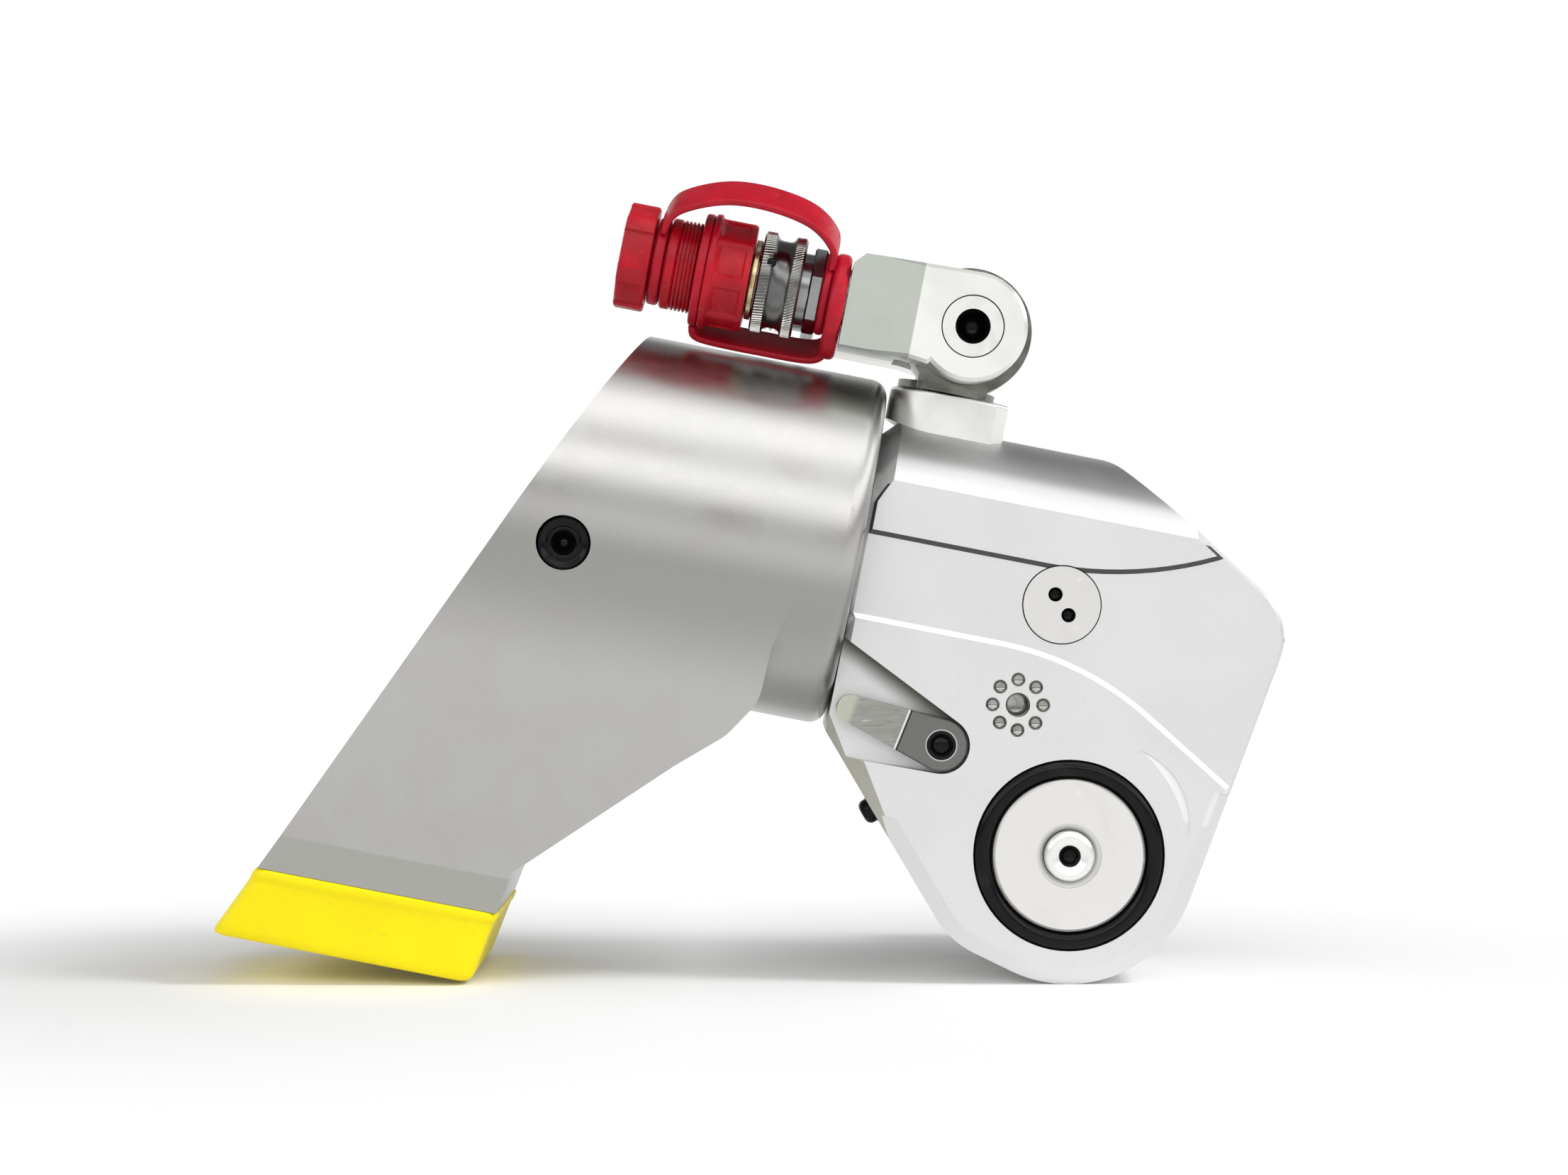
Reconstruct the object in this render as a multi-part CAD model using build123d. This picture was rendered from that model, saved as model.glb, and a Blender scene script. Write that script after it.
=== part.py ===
from build123d import *
import os
from math import acos, asin, atan2, cos, degrees, hypot, pi, radians, sin, tan

# A hydraulic torque wrench that stands on its reaction boot and on the nose of its housing.
# Every piece is drawn level: U along the cylinder, Y along the square drive, W up from the drive axis.
# place() then leans it by lean_angle about the drive axis, as the tool stands. All lengths are millimetres.

# Stance
lean_angle = 11.0

# Clearances
running_fit = 0.05
slide_fit = 0.08
loose_fit = 0.3
seat_gap = 0.02

# Housing
socket_seat_height = 5.0
housing_width = 67.0
cheek_thickness = 10.5
nose_radius = 36.0
nose_wall = 5.0
rod_rise = 1.5
barrel_radius = 40.0
housing_rear_u = -72.5
slope_start_u = -7.0
slope_angle = 32.1
front_tilt = 9.5
front_corner_radius = 17.0
slope_corner_radius = 12.0
flank_top_w = 20.5
flank_angle = 48.4
flank_corner_radius = 25.0
nose_end_angle = 255.0
rim_chamfer = 1.8
slope_wall = 7.0
nose_bevel_width = 4.6
nose_bevel_depth = 2.2
nose_bevel_front_w = 25.0
nose_bevel_flank_w = 1.0
flank_bevel_width = 7.0
flank_bevel_depth = 12.0
flank_bevel_length = 42.0
rear_chamfer = 5.0

# Shallow band across each face of the housing
band_depth = 0.9
band_bevel_angle = 58.0
band_top_rise = 7.5
band_top_bend_u = -22.0
band_top_end_u = 24.5
band_top_end_rise = 18.4
band_low_drop = 17.6
band_low_bend_u = -30.0
band_low_mid_u = 15.0
band_low_mid_drop = 30.4
band_low_end_u = 50.0
band_low_end_drop = 51.6
crescent_outer = (10.3, 11.6, 21.1)
crescent_inner = (-5.1, -0.7, 38.2)
crescent_start_radius = 33.0
crescent_slope = 12.0
crescent_depth = 1.0

# Inside of the housing
rod_seal_room = 6.0
cavity_top_rise = 15.0
cavity_right_u = 38.0
cavity_left_drop = 21.0
mouth_low_w = 14.0
mouth_high_drop = 7.0

# Front cover
cover_thickness = 4.0
cover_end_margin = 7.0
cover_margin = 7.5
cover_screw_radius = 2.0
cover_screw_head_radius = 3.5
cover_screw_head_height = 2.2
cover_screw_length = 9.0
cover_screw_rows = (-25.0, 25.0)
cover_corner_radius = 5.0

# Cylinder, piston and rod
bore_radius = 21.0
bore_front_wall = 10.5
spline_root_radius = 36.0
spline_tip_radius = 38.0
spline_count = 36
neck_length = 52.5
neck_tooth_inset = -0.2
neck_core_radius = 31.5
neck_core_overlap = 2.0
piston_length = 18.0
piston_rest_gap = 0.8
rod_radius = 12.0
rod_bushing_wall = 4.0
rod_bushing_length = 11.0
tongue_width = 20.0
tongue_height = 25.0
tongue_length = 27.0
seal_section_radius = 1.6
piston_nut_radius = 9.0
piston_nut_length = 6.0
port_radius = 2.0
port_inset = 3.5

# Cylinder end cap
cap_flange_radius = 34.0
cap_flange_thickness = 9.0
cap_spigot_length = 12.0
stub_radius = 10.5
stub_groove_radius = 7.5
stub_length = 25.0
stub_groove_length = 7.0
stub_end_flange = 2.6
stub_chamfer = 2.4
cap_screw_circle = 28.5
cap_screw_radius = 2.5
cap_screw_head_radius = 4.2
cap_screw_head_height = 5.0
cap_screw_length = 20.0
cap_screw_count = 6

# Drive plates and their pins
swing_half_angle = 12.6
plate_thickness = 9.0
plate_side_gap = 0.4
plate_low_radius = 28.0
plate_high_radius = 13.0
rod_pin_radius = 8.0
slot_side_clearance = 0.35
bridge_length = 22.0
bridge_height = 6.0
rod_to_bridge = 3.0

# Ratchet, bushings and square drive
ratchet_tip_radius = 26.0
ratchet_root_radius = 23.6
ratchet_teeth = 36
hub_radius = 21.0
bushing_outer_radius = 24.0
bushing_length = 6.0
drive_spline_tip = 16.8
drive_spline_root = 15.2
drive_spline_count = 24
square_side = 25.4
square_length = 27.0
square_corner_chamfer = 2.2
cross_hole_radius = 3.2
cross_hole_y = 14.0

# Retainer on the near side
ring_groove_radius = 26.6
ring_groove_depth = 4.6
ring_centre_radius = 23.95
ring_section_radius = 2.6
ring_proud = 1.0
disc_radius = 21.15
disc_proud = 0.9
disc_thickness = 5.2
disc_edge_chamfer = 0.7
recess_radius = 9.0
recess_depth = 1.6
button_radius = 7.0
button_proud = 2.6
button_length = 14.0
button_travel = 3.0
button_socket_radius = 2.9
button_socket_depth = 4.0
button_groove_radius = 5.6
sleeve_outer_radius = 14.6
sleeve_inner_radius = 11.6
sleeve_length = 5.6
lock_ball_radius = 2.4
lock_ball_circle = 9.6
lock_ball_count = 4
retainer_spring_radius = 4.6
retainer_spring_wire = 1.0
retainer_spring_length = 10.0

# Drive pawl
drive_pawl_inner_gap = 0.35
drive_pawl_thickness = 15.65
drive_pawl_half_angle = 22.0
drive_pawl_pin_radius = 4.0
drive_pawl_pin_inset = 5.5
drive_pawl_pin_angle = -13.0
drive_pawl_teeth = 3
drive_pawl_relief = 3.0
pawl_spring_radius = 3.0
pawl_spring_wire = 1.0
pawl_spring_length = 6.0

# Reaction pawl, its shaft and the release lever
pawl_pivot = (-40.5, 23.2)
shaft_radius = 5.0
pawl_boss_radius = 8.5
pawl_head_radius = 9.0
pawl_head_at = (-33.5, 3.5)
pawl_release_angle = 15.0
pawl_room = 0.8
pawl_teeth_from = 140.0
pawl_teeth_to = 215.0
lever_boss_radius = 7.3
lever_tip_radius = 3.8
lever_length = 27.3
lever_angle = 10.9
lever_thickness = 6.0
lever_pad_start = 11.5
lever_screw_radius = 4.1
lever_screw_socket_radius = 2.3
lever_scoop_radius = 31.5
lever_scoop_depth = 2.4
lever_edge = 0.4
lever_gap = 0.3
lever_screw_shank = 2.5
lever_screw_length = 9.0
pocket_high_angle = 25.9
pocket_low_angle = -1.0
pocket_clearance = 0.6
pocket_depth = 7.2
flank_screw_at = (-54.6, -0.3)
flank_screw_radius = 4.0
flank_screw_head_radius = 3.6
flank_screw_length = 5.8
flank_screw_proud = 3.0
reaction_spring_radius = 2.6
reaction_spring_wire = 0.9
reaction_spring_length = 6.6

# Access plugs and handle holes
access_plug_radius = 10.7
access_plug_gap = 0.35
access_plug_proud = 0.3
access_plug_length = 8.0
spanner_hole_radius = 2.0
spanner_hole_offset = 3.4
spanner_hole_depth = 3.0
spanner_hole_angle = -47.0
handle_hole_at = (-21.9, 38.3)
handle_hole_radius = 3.4
handle_hole_depth = 8.5
dimple_radius = 1.95
dimple_circle = 7.0
dimple_count = 8
dimple_depth = 1.4

# Swivel
base_left_inset = 0.3
base_length = 33.6
base_height = 9.3
base_half_width = 14.0
base_round = 13.5
base_corner = 3.5
base_rim = 1.0
post_axis_inset = 16.0
post_collar_radius = 14.0
post_collar_height = 2.2
post_spindle_radius = 8.0
circlip_thickness = 1.2
circlip_room = 3.0
collar_gap = 0.25
pin_axis_offset = 2.5
pin_axis_rise = 18.7
eye_radius = 18.0
eye_width = 22.0
eye_clearance = 0.4
block_left_reach = 35.7
block_low_drop = 11.8
block_high_rise = 14.3
block_round_radius = 15.3
block_width = 62.0
block_left_narrowing = 1.6
block_shade_at = 16.0
block_corner_chamfer = 3.0
block_rim_chamfer = 1.0
pin_head_radius = 8.45
pin_head_thickness = 3.0
pin_counterbore_radius = 8.8
pin_shank_radius = 7.0
pin_socket_radius = 4.9
pin_socket_depth = 9.0
pin_bore_radius = 3.5
base_screw_radius = 2.0
base_screw_head_radius = 2.8
base_screw_head_height = 3.0
base_screw_reach = 12.0
base_screw_u = (-66.2, -43.4)
base_screw_half_spacing = 7.2

# Couplers, caps and straps
coupler_axis_rise = 2.2
coupler_spacing = 33.0
coupler_port_radius = 6.5
coupler_port_length = 14.0
coupler_neck_radius = 8.2
hex_across = 21.2
hex_turn = 15.0
coupler_bore_radius = 3.0
coupler_neck_length = 7.4
hex_length = 3.7
sleeve_gap = 2.4
coupler_sleeve_length = 12.2
band_two_length = 3.7
band_one_length = 3.8
knurl_radius = 14.0
waist_radius = 12.3
coupler_core_radius = 10.2
coupler_nose_length = 2.0
coupler_mouth_radius = 7.4
coupler_mouth_depth = 9.0
sleeve_travel = 2.0
sleeve_hole_radius = 1.6
sleeve_hole_height = 4.0
male_body_radius = 10.6
male_nose_radius = 8.0
male_reach = 1.1
cap_gap = 0.3
dust_cap_length = 12.2
cap_flange_length = 2.0
dust_cap_radius = 14.6
dust_flange_radius = 15.5
cap_floor = 2.0
cap_spigot_radius = 7.2
cap_spigot_depth = 4.0
cap_window_size = 8.0
cap_window_depth = 1.2
cap_window_count = 6
thread_radius = 11.8
thread_root_radius = 11.0
thread_length = 11.6
thread_depth_in_cap = 8.0
thread_rib_count = 4
plug_neck_radius = 9.0
knob_length = 8.5
plug_neck_length = 4.1
knob_radius = 13.4
knob_lug_radius = 14.3
knob_lug_count = 6
knob_lug_width = 7.0
knob_hollow_radius = 9.5
knob_hollow_depth = 5.5
strap_thickness = 2.0
strap_width = 11.0
tether_ring_radius = 14.7
tether_ring_section = 3.0
tether_ring_drop = 3.0
low_ring_at = 3.7
high_ring_at = 7.1
high_strap_angle = 40.0
high_strap_radius = 25.5
low_strap_angle = 35.0
low_strap_radius = 18.6
plug_ring_width = 3.2

# Reaction arm and boot
arm_outer_radius = 50.0
arm_gap = 0.5
arm_rear_top_u = -142.5
arm_bore_end_gap = 5.5
stub_bore_clearance = 0.5
arm_taper = 8.5
arm_foot_w = -61.5
arm_rear_low_u = -227.0
arm_foot_right_u = -155.6
arm_heel_u = -150.5
arm_heel_rise = 27.5
arm_knee_u = -112.0
arm_knee_drop = 67.0
arm_shoulder_u = -99.6
arm_shoulder_drop = 56.0
arm_shoulder_top_u = -92.5
arm_shoulder_top_drop = 45.0
arm_collar_low_u = -92.0
arm_collar_low_drop = 30.0
collar_front_round = 5.0
foot_land_w = -36.0
arm_shoulder_radius = 14.0
arm_knee_radius = 18.0
boot_height = 15.5
boot_wall = 2.4
boot_floor = 5.0
boot_lip = 0.7
boot_gap = 0.1

# Arm lock
lock_button_u = -153.0
lock_button_drop = 12.5
lock_button_radius = 7.2
lock_button_recess = 0.6
lock_button_length = 7.0
lock_socket_radius = 3.2
lock_raised_ring_radius = 4.7
lock_stem_radius = 3.2
lock_waist_gap = 0.3
lock_waist_half = 6.5
lock_stem_end = 8.0
lock_travel = 5.0
lock_spring_wire = 1.0

# Places worked out from the sizes above
drive_pawl_inner_radius = ratchet_tip_radius + drive_pawl_inner_gap
drive_pawl_outer_radius = drive_pawl_inner_radius + drive_pawl_thickness
drive_pawl_pin_at = (drive_pawl_outer_radius - drive_pawl_pin_inset, drive_pawl_pin_angle)
bridge_radius_at = drive_pawl_outer_radius + pawl_spring_length + bridge_height / 2
crank_radius = bridge_radius_at + bridge_height / 2 + rod_to_bridge + tongue_height / 2
barrel_axis_w = crank_radius + rod_rise
barrel_top_w = barrel_axis_w + barrel_radius
neck_rear_u = housing_rear_u - neck_length
cap_rear_u = neck_rear_u - cap_flange_thickness
bore_front_u = housing_rear_u + bore_front_wall
cavity_left_u = bore_front_u + rod_bushing_length + rod_seal_room
mouth_high_w = barrel_axis_w - mouth_high_drop
cover_mid_w = (mouth_low_w + mouth_high_w) / 2
cover_height = mouth_high_w - mouth_low_w + 2 * cover_end_margin
base_top_w = barrel_top_w + base_height
base_left_u = housing_rear_u + base_left_inset
base_right_u = base_left_u + base_length
post_axis_u = housing_rear_u + post_axis_inset
circlip_room_radius = post_spindle_radius + circlip_room
swivel_pin_axis = (post_axis_u + pin_axis_offset, base_top_w + pin_axis_rise)
block_left_u = swivel_pin_axis[0] - block_left_reach
block_low_w = swivel_pin_axis[1] - block_low_drop
block_high_w = swivel_pin_axis[1] + block_high_rise
coupler_axis_w = swivel_pin_axis[1] + coupler_axis_rise
hex_right_u = block_left_u - coupler_neck_length
hex_left_u = hex_right_u - hex_length
sleeve_right_u = hex_left_u - sleeve_gap
sleeve_left_u = sleeve_right_u - coupler_sleeve_length
nose_left_u = sleeve_left_u - coupler_nose_length
male_left_u = nose_left_u - male_reach
cap_right_u = nose_left_u - cap_gap
cap_left_u = cap_right_u - dust_cap_length
thread_left_u = cap_left_u - thread_length
knob_right_u = thread_left_u - plug_neck_length
knob_left_u = knob_right_u - knob_length
low_ring_left_u = block_left_u - low_ring_at
high_ring_left_u = block_left_u - high_ring_at
arm_front_u = housing_rear_u - arm_gap
arm_bore_end_u = cap_rear_u - arm_bore_end_gap
arm_top_w = barrel_axis_w + arm_outer_radius
arm_shoulder_top = (arm_shoulder_top_u, barrel_axis_w - arm_shoulder_top_drop)
arm_shoulder = (arm_shoulder_u, barrel_axis_w - arm_shoulder_drop)
arm_knee = (arm_knee_u, barrel_axis_w - arm_knee_drop)
arm_heel = (arm_heel_u, arm_foot_w + arm_heel_rise)
boot_top_w = arm_foot_w + boot_height
lock_button_at = (lock_button_u, barrel_axis_w - lock_button_drop)
far_face = -socket_seat_height
near_face = far_face - housing_width
middle_y = (near_face + far_face) / 2
cavity_near = near_face + cheek_thickness
cavity_far = far_face - cheek_thickness
swing = radians(swing_half_angle)
pin_u = -crank_radius * sin(swing)
pin_w = crank_radius * cos(swing)
stroke = 2 * crank_radius * sin(swing)
near_plate = (cavity_near + plate_side_gap, cavity_near + plate_side_gap + plate_thickness)
far_plate = (cavity_far - plate_side_gap - plate_thickness, cavity_far - plate_side_gap)
between_plates = (near_plate[1] + plate_side_gap, far_plate[0] - plate_side_gap)
foot_half_width = arm_outer_radius - tan(radians(arm_taper)) * (barrel_axis_w - foot_land_w)
near_coupler_y = middle_y - coupler_spacing / 2
far_coupler_y = middle_y + coupler_spacing / 2
ring_floor_near = near_face + ring_groove_depth
ring_floor_far = far_face - ring_groove_depth


def place(shape):
    """Lean a level piece about the drive axis, as the tool stands."""
    return Rot(0, lean_angle, 0) * shape


def y_bar(radius, y_from, y_to, u=0.0, w=0.0):
    """Round bar along Y."""
    return Pos(u, (y_from + y_to) / 2, w) * Rot(90, 0, 0) * Cylinder(radius, abs(y_to - y_from))


def u_bar(radius, u_from, u_to, y=middle_y, w=barrel_axis_w):
    """Round bar along U."""
    return Pos((u_from + u_to) / 2, y, w) * Rot(0, 90, 0) * Cylinder(radius, abs(u_to - u_from))


def w_bar(radius, w_from, w_to, u, y=middle_y):
    """Round bar along W."""
    return Pos(u, y, (w_from + w_to) / 2) * Cylinder(radius, abs(w_to - w_from))


def block(u_range, y_range, w_range):
    """Rectangular block between the given limits."""
    size = [high - low for low, high in (sorted(u_range), sorted(y_range), sorted(w_range))]
    centre = [sum(limits) / 2 for limits in (u_range, y_range, w_range)]
    return Pos(*centre) * Box(*size)


def plate(points, y_from, y_to):
    """Flat plate with the outline of (u, w) points, between two values of Y."""
    corners = [(u, y_from, w) for u, w in points]
    return extrude(make_face(Polyline(*corners, close=True)), amount=y_to - y_from, dir=(0, 1, 0))


def polar(centre, radius, angle):
    """The (u, w) point at an angle in degrees from +U, about a centre."""
    return (centre[0] + radius * cos(radians(angle)), centre[1] + radius * sin(radians(angle)))


def meeting_point(start, angle, other, other_angle):
    """Where the line from start at angle meets the line from other at other_angle."""
    du, dw = cos(radians(angle)), sin(radians(angle))
    eu, ew = cos(radians(other_angle)), sin(radians(other_angle))
    across = du * ew - dw * eu
    reach = ((other[0] - start[0]) * ew - (other[1] - start[1]) * eu) / across
    return (start[0] + reach * du, start[1] + reach * dw)


def link(first, first_radius, second, second_radius, y_from, y_to):
    """Plate with the outline of a belt around two circles."""
    angle = degrees(atan2(second[1] - first[1], second[0] - first[0]))
    spread = degrees(acos((first_radius - second_radius) / hypot(second[0] - first[0], second[1] - first[1])))
    web = plate(
        [
            polar(first, first_radius, angle + spread),
            polar(second, second_radius, angle + spread),
            polar(second, second_radius, angle - spread),
            polar(first, first_radius, angle - spread),
        ],
        y_from,
        y_to,
    )
    return web + y_bar(first_radius, y_from, y_to, *first) + y_bar(second_radius, y_from, y_to, *second)


def round_corner(solid, point, radius):
    """Round the edge along Y that stands nearest to a (u, w) point."""
    edges = solid.edges().filter_by(Axis.Y)
    nearest = min(edges, key=lambda edge: hypot(edge.center().X - point[0], edge.center().Z - point[1]))
    return fillet(nearest, radius)


def ring_along(axis_bar, outer, inner, start, end, *where):
    """Tube made by one of the bar functions."""
    return axis_bar(outer, start, end, *where) - axis_bar(inner, start, end, *where)


def y_torus(ring_radius, section_radius, y, u=0.0, w=0.0):
    """Ring of round section about an axis along Y."""
    return Pos(u, y, w) * Rot(90, 0, 0) * Torus(ring_radius, section_radius)


def u_torus(ring_radius, section_radius, u, y=middle_y, w=barrel_axis_w):
    """Ring of round section about an axis along U."""
    return Pos(u, y, w) * Rot(0, 90, 0) * Torus(ring_radius, section_radius)


def coil(radius, wire, length, turns):
    """Compression spring along Z from the origin, with its wire inside the given length."""
    rise = length - 2 * wire
    path = Helix(rise / turns, rise, radius)
    section = Plane(origin=path @ 0, z_dir=path % 0) * Circle(wire)
    return Pos(0, 0, wire) * sweep(section, path=path, is_frenet=True)


# Housing


def housing_outline():
    """Corners of the housing seen from the side, clockwise from the rear top."""
    rear_top = (housing_rear_u, barrel_top_w)
    slope_start = (slope_start_u, barrel_top_w)
    front_tangent = polar((0, 0), nose_radius, -front_tilt)
    front_corner = meeting_point(slope_start, -slope_angle, front_tangent, 90 - front_tilt)
    nose_end = polar((0, 0), nose_radius, nose_end_angle)
    flank_top = (housing_rear_u, flank_top_w)
    flank_corner = meeting_point(nose_end, nose_end_angle - 90, flank_top, -flank_angle)
    return [rear_top, slope_start, front_corner, front_tangent, nose_end, flank_corner, flank_top]


def flank_bevel(side):
    """Slanted cut along the upper part of the lower left flank, side -1 near and 1 far."""
    face = near_face if side < 0 else far_face
    du, dw = cos(radians(flank_angle)), sin(radians(flank_angle))
    normal = (
        du / flank_bevel_length + dw / flank_bevel_width,
        -side / flank_bevel_depth,
        -dw / flank_bevel_length + du / flank_bevel_width,
    )
    start = (housing_rear_u + dw * flank_bevel_width, face, flank_top_w + du * flank_bevel_width)
    size = 4 * flank_bevel_length
    return Plane(origin=start, z_dir=normal) * Pos(0, 0, -size / 2) * Box(size, size, size)


def face_band(side):
    """Shallow band cut across one face, side -1 near and 1 far."""
    face = near_face if side < 0 else far_face
    left = housing_rear_u - 5
    right = 2 * barrel_radius
    top_w = barrel_axis_w + band_top_rise
    low_w = barrel_axis_w - band_low_drop
    top_end_w = barrel_axis_w + band_top_end_rise
    low_end_w = barrel_axis_w - band_low_end_drop
    top_start = (left, face, top_w)
    top_bend = (band_top_bend_u, face, top_w)
    top_end = (band_top_end_u, face, top_end_w)
    top_out = (band_top_end_u + 20, face, top_end_w + 12)
    low_out = (band_low_end_u + 12, face, low_end_w - 7)
    low_mid = (band_low_mid_u, face, barrel_axis_w - band_low_mid_drop)
    low_bend = (band_low_bend_u, face, low_w)
    low_start = (left, face, low_w)
    edges = [
        Line(top_start, top_bend),
        TangentArc(top_bend, top_end, tangent=(1, 0, 0)),
        Line(top_end, top_out),
        Line(top_out, (right, face, top_out[2])),
        Line((right, face, top_out[2]), (right, face, low_out[2])),
        Line((right, face, low_out[2]), low_out),
        Line(low_out, low_mid),
        TangentArc(low_bend, low_mid, tangent=(1, 0, 0)),
        Line(low_bend, low_start),
        Line(low_start, top_start),
    ]
    return extrude(make_face(edges), amount=band_depth, dir=(0, -side, 0), taper=band_bevel_angle)


def face_crescent(side):
    """Shallow crescent beside the drive, deeper away from the drive's axis."""
    face = near_face if side < 0 else far_face
    depth = crescent_depth
    outer_u, outer_w, outer_radius = crescent_outer
    inner_u, inner_w, inner_radius = crescent_inner
    crescent = y_bar(outer_radius, face + side, face - side * depth, outer_u, outer_w)
    crescent -= y_bar(inner_radius, face + 2 * side, face - side * (depth + 1), inner_u, inner_w)
    deep_radius = crescent_start_radius + depth / tan(radians(crescent_slope))
    rise_radius = crescent_start_radius - depth / tan(radians(crescent_slope))
    cone = Cone(deep_radius, rise_radius, 2 * depth)
    return crescent - Pos(0, face, 0) * Rot(90 if side < 0 else -90, 0, 0) * cone


def cavity():
    """Room inside the housing for the plates, the ratchet and the pawls."""
    floor_radius = nose_radius - nose_wall
    top_w = barrel_axis_w + cavity_top_rise
    slope_down = radians(slope_angle)
    under_slope = (
        slope_start_u - slope_wall * sin(slope_down),
        barrel_top_w - slope_wall * cos(slope_down),
    )
    room = plate(
        [
            (cavity_left_u, top_w),
            meeting_point((cavity_left_u, top_w), 0, under_slope, -slope_angle),
            meeting_point(under_slope, -slope_angle, (cavity_right_u, mouth_high_w), 90),
            (cavity_right_u, mouth_high_w),
            (floor_radius, 0),
            (-floor_radius, 0),
            (cavity_left_u, barrel_axis_w - cavity_left_drop),
        ],
        cavity_near,
        cavity_far,
    )
    room += y_bar(floor_radius, cavity_near, cavity_far)
    room += link(pawl_pivot, pawl_boss_radius + 2, (0, 0), floor_radius, cavity_near, cavity_far)
    head_room = pawl_head_radius + pawl_room
    room += link(pawl_pivot, head_room, pawl_head_at, head_room, cavity_near, cavity_far)
    swung_head = polar(pawl_pivot, *pawl_swung_head())
    room += link(pawl_pivot, head_room, swung_head, head_room, cavity_near, cavity_far)
    mouth = plate(
        [
            (0, mouth_high_w),
            (barrel_radius + 20, mouth_high_w),
            (barrel_radius + 20, mouth_low_w),
            (0, mouth_low_w),
        ],
        cavity_near,
        cavity_far,
    )
    return room + mouth


def pawl_swung_head():
    """Distance and angle of the pawl's head from its pivot, when the lever is lifted."""
    du, dw = pawl_head_at[0] - pawl_pivot[0], pawl_head_at[1] - pawl_pivot[1]
    return hypot(du, dw), degrees(atan2(dw, du)) - pawl_release_angle


def on_front(shape, drop=0.0):
    """Put a shape drawn about the origin, +X outwards, on the tilted front of the housing."""
    foot = polar((0, 0), nose_radius, -front_tilt)
    rise = (cover_mid_w - foot[1]) / cos(radians(front_tilt))
    u = foot[0] + rise * sin(radians(front_tilt))
    return Pos(u, middle_y, cover_mid_w) * Rot(0, front_tilt, 0) * Pos(-drop, 0, 0) * shape


def front_cover_blank(margin, thickness):
    """Cover plate with rounded corners, lying just under the front of the housing."""
    width = cavity_far - cavity_near + 2 * cover_margin + 2 * margin
    height = cover_height + 2 * margin
    blank = Pos(-thickness / 2, 0, 0) * Box(thickness, width, height)
    return fillet(blank.edges().filter_by(Axis.X), cover_corner_radius + margin)


def cover_screw_places():
    """Centres of the cover's screws across and along the cover."""
    across = (cavity_far - cavity_near + cover_margin) / 2
    return [(side * across, row) for side in (-1, 1) for row in cover_screw_rows]


def spline_teeth(count, root, tip, length, widen=0.0):
    """Splined bar along Z from the origin, with straight-sided teeth."""
    bar = Pos(0, 0, length / 2) * Cylinder(root, length)
    tooth_width = pi * (root + tip) / 2 / count + widen
    tooth = Box(tip - root + 2, tooth_width, length)
    tooth = Pos((root + tip) / 2 - 1, 0, length / 2) * tooth
    return bar + [Rot(0, 0, turn * 360 / count) * tooth for turn in range(count)]


def neck():
    """Splined rear neck of the cylinder; its teeth end inside the collar, and its core runs into the housing."""
    length = arm_front_u + neck_tooth_inset - neck_rear_u
    bar = spline_teeth(spline_count, spline_root_radius, spline_tip_radius, length)
    core_length = housing_rear_u + neck_core_overlap - neck_rear_u
    bar += Pos(0, 0, core_length / 2) * Cylinder(neck_core_radius, core_length)
    return Pos(neck_rear_u, middle_y, barrel_axis_w) * Rot(0, 90, 0) * bar


def lever_pocket():
    """Wedge-shaped pocket around the release lever."""
    radius = lever_boss_radius + pocket_clearance
    floor = near_face + pocket_depth
    high = 180 - pocket_high_angle
    low = 180 - pocket_low_angle
    high_start = polar(pawl_pivot, radius, high - 90)
    low_start = polar(pawl_pivot, radius, low + 90)
    wedge = plate(
        [
            high_start,
            polar(high_start, 60, high),
            polar(low_start, 60, low),
            low_start,
            pawl_pivot,
        ],
        near_face - 1,
        floor,
    )
    return wedge + y_bar(radius, near_face - 1, floor, *pawl_pivot)


def handle_holes(side):
    """Threaded handle hole with its ring of dimples, side -1 near and 1 far."""
    face = near_face if side < 0 else far_face
    holes = y_bar(handle_hole_radius, face, face - side * handle_hole_depth, *handle_hole_at)
    for turn in range(dimple_count):
        where = polar(handle_hole_at, dimple_circle, turn * 360 / dimple_count + 100)
        holes += y_bar(dimple_radius, face, face - side * dimple_depth, *where)
    return holes


def access_holes(side):
    """Hole for an access plug, with a narrow gap round the plug's face."""
    face = near_face if side < 0 else far_face
    inside = cavity_near if side < 0 else cavity_far
    where = (pin_u, pin_w)
    gap = y_bar(access_plug_radius + access_plug_gap, face, face - side * 2.5, *where)
    return gap + y_bar(access_plug_radius + seat_gap, face, inside, *where)


def flank_frame():
    """Location of the spring plug, +Z pointing outwards along its axis."""
    return Pos(flank_screw_at[0], middle_y, flank_screw_at[1]) * Rot(0, 180 + flank_angle, 0)


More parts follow.
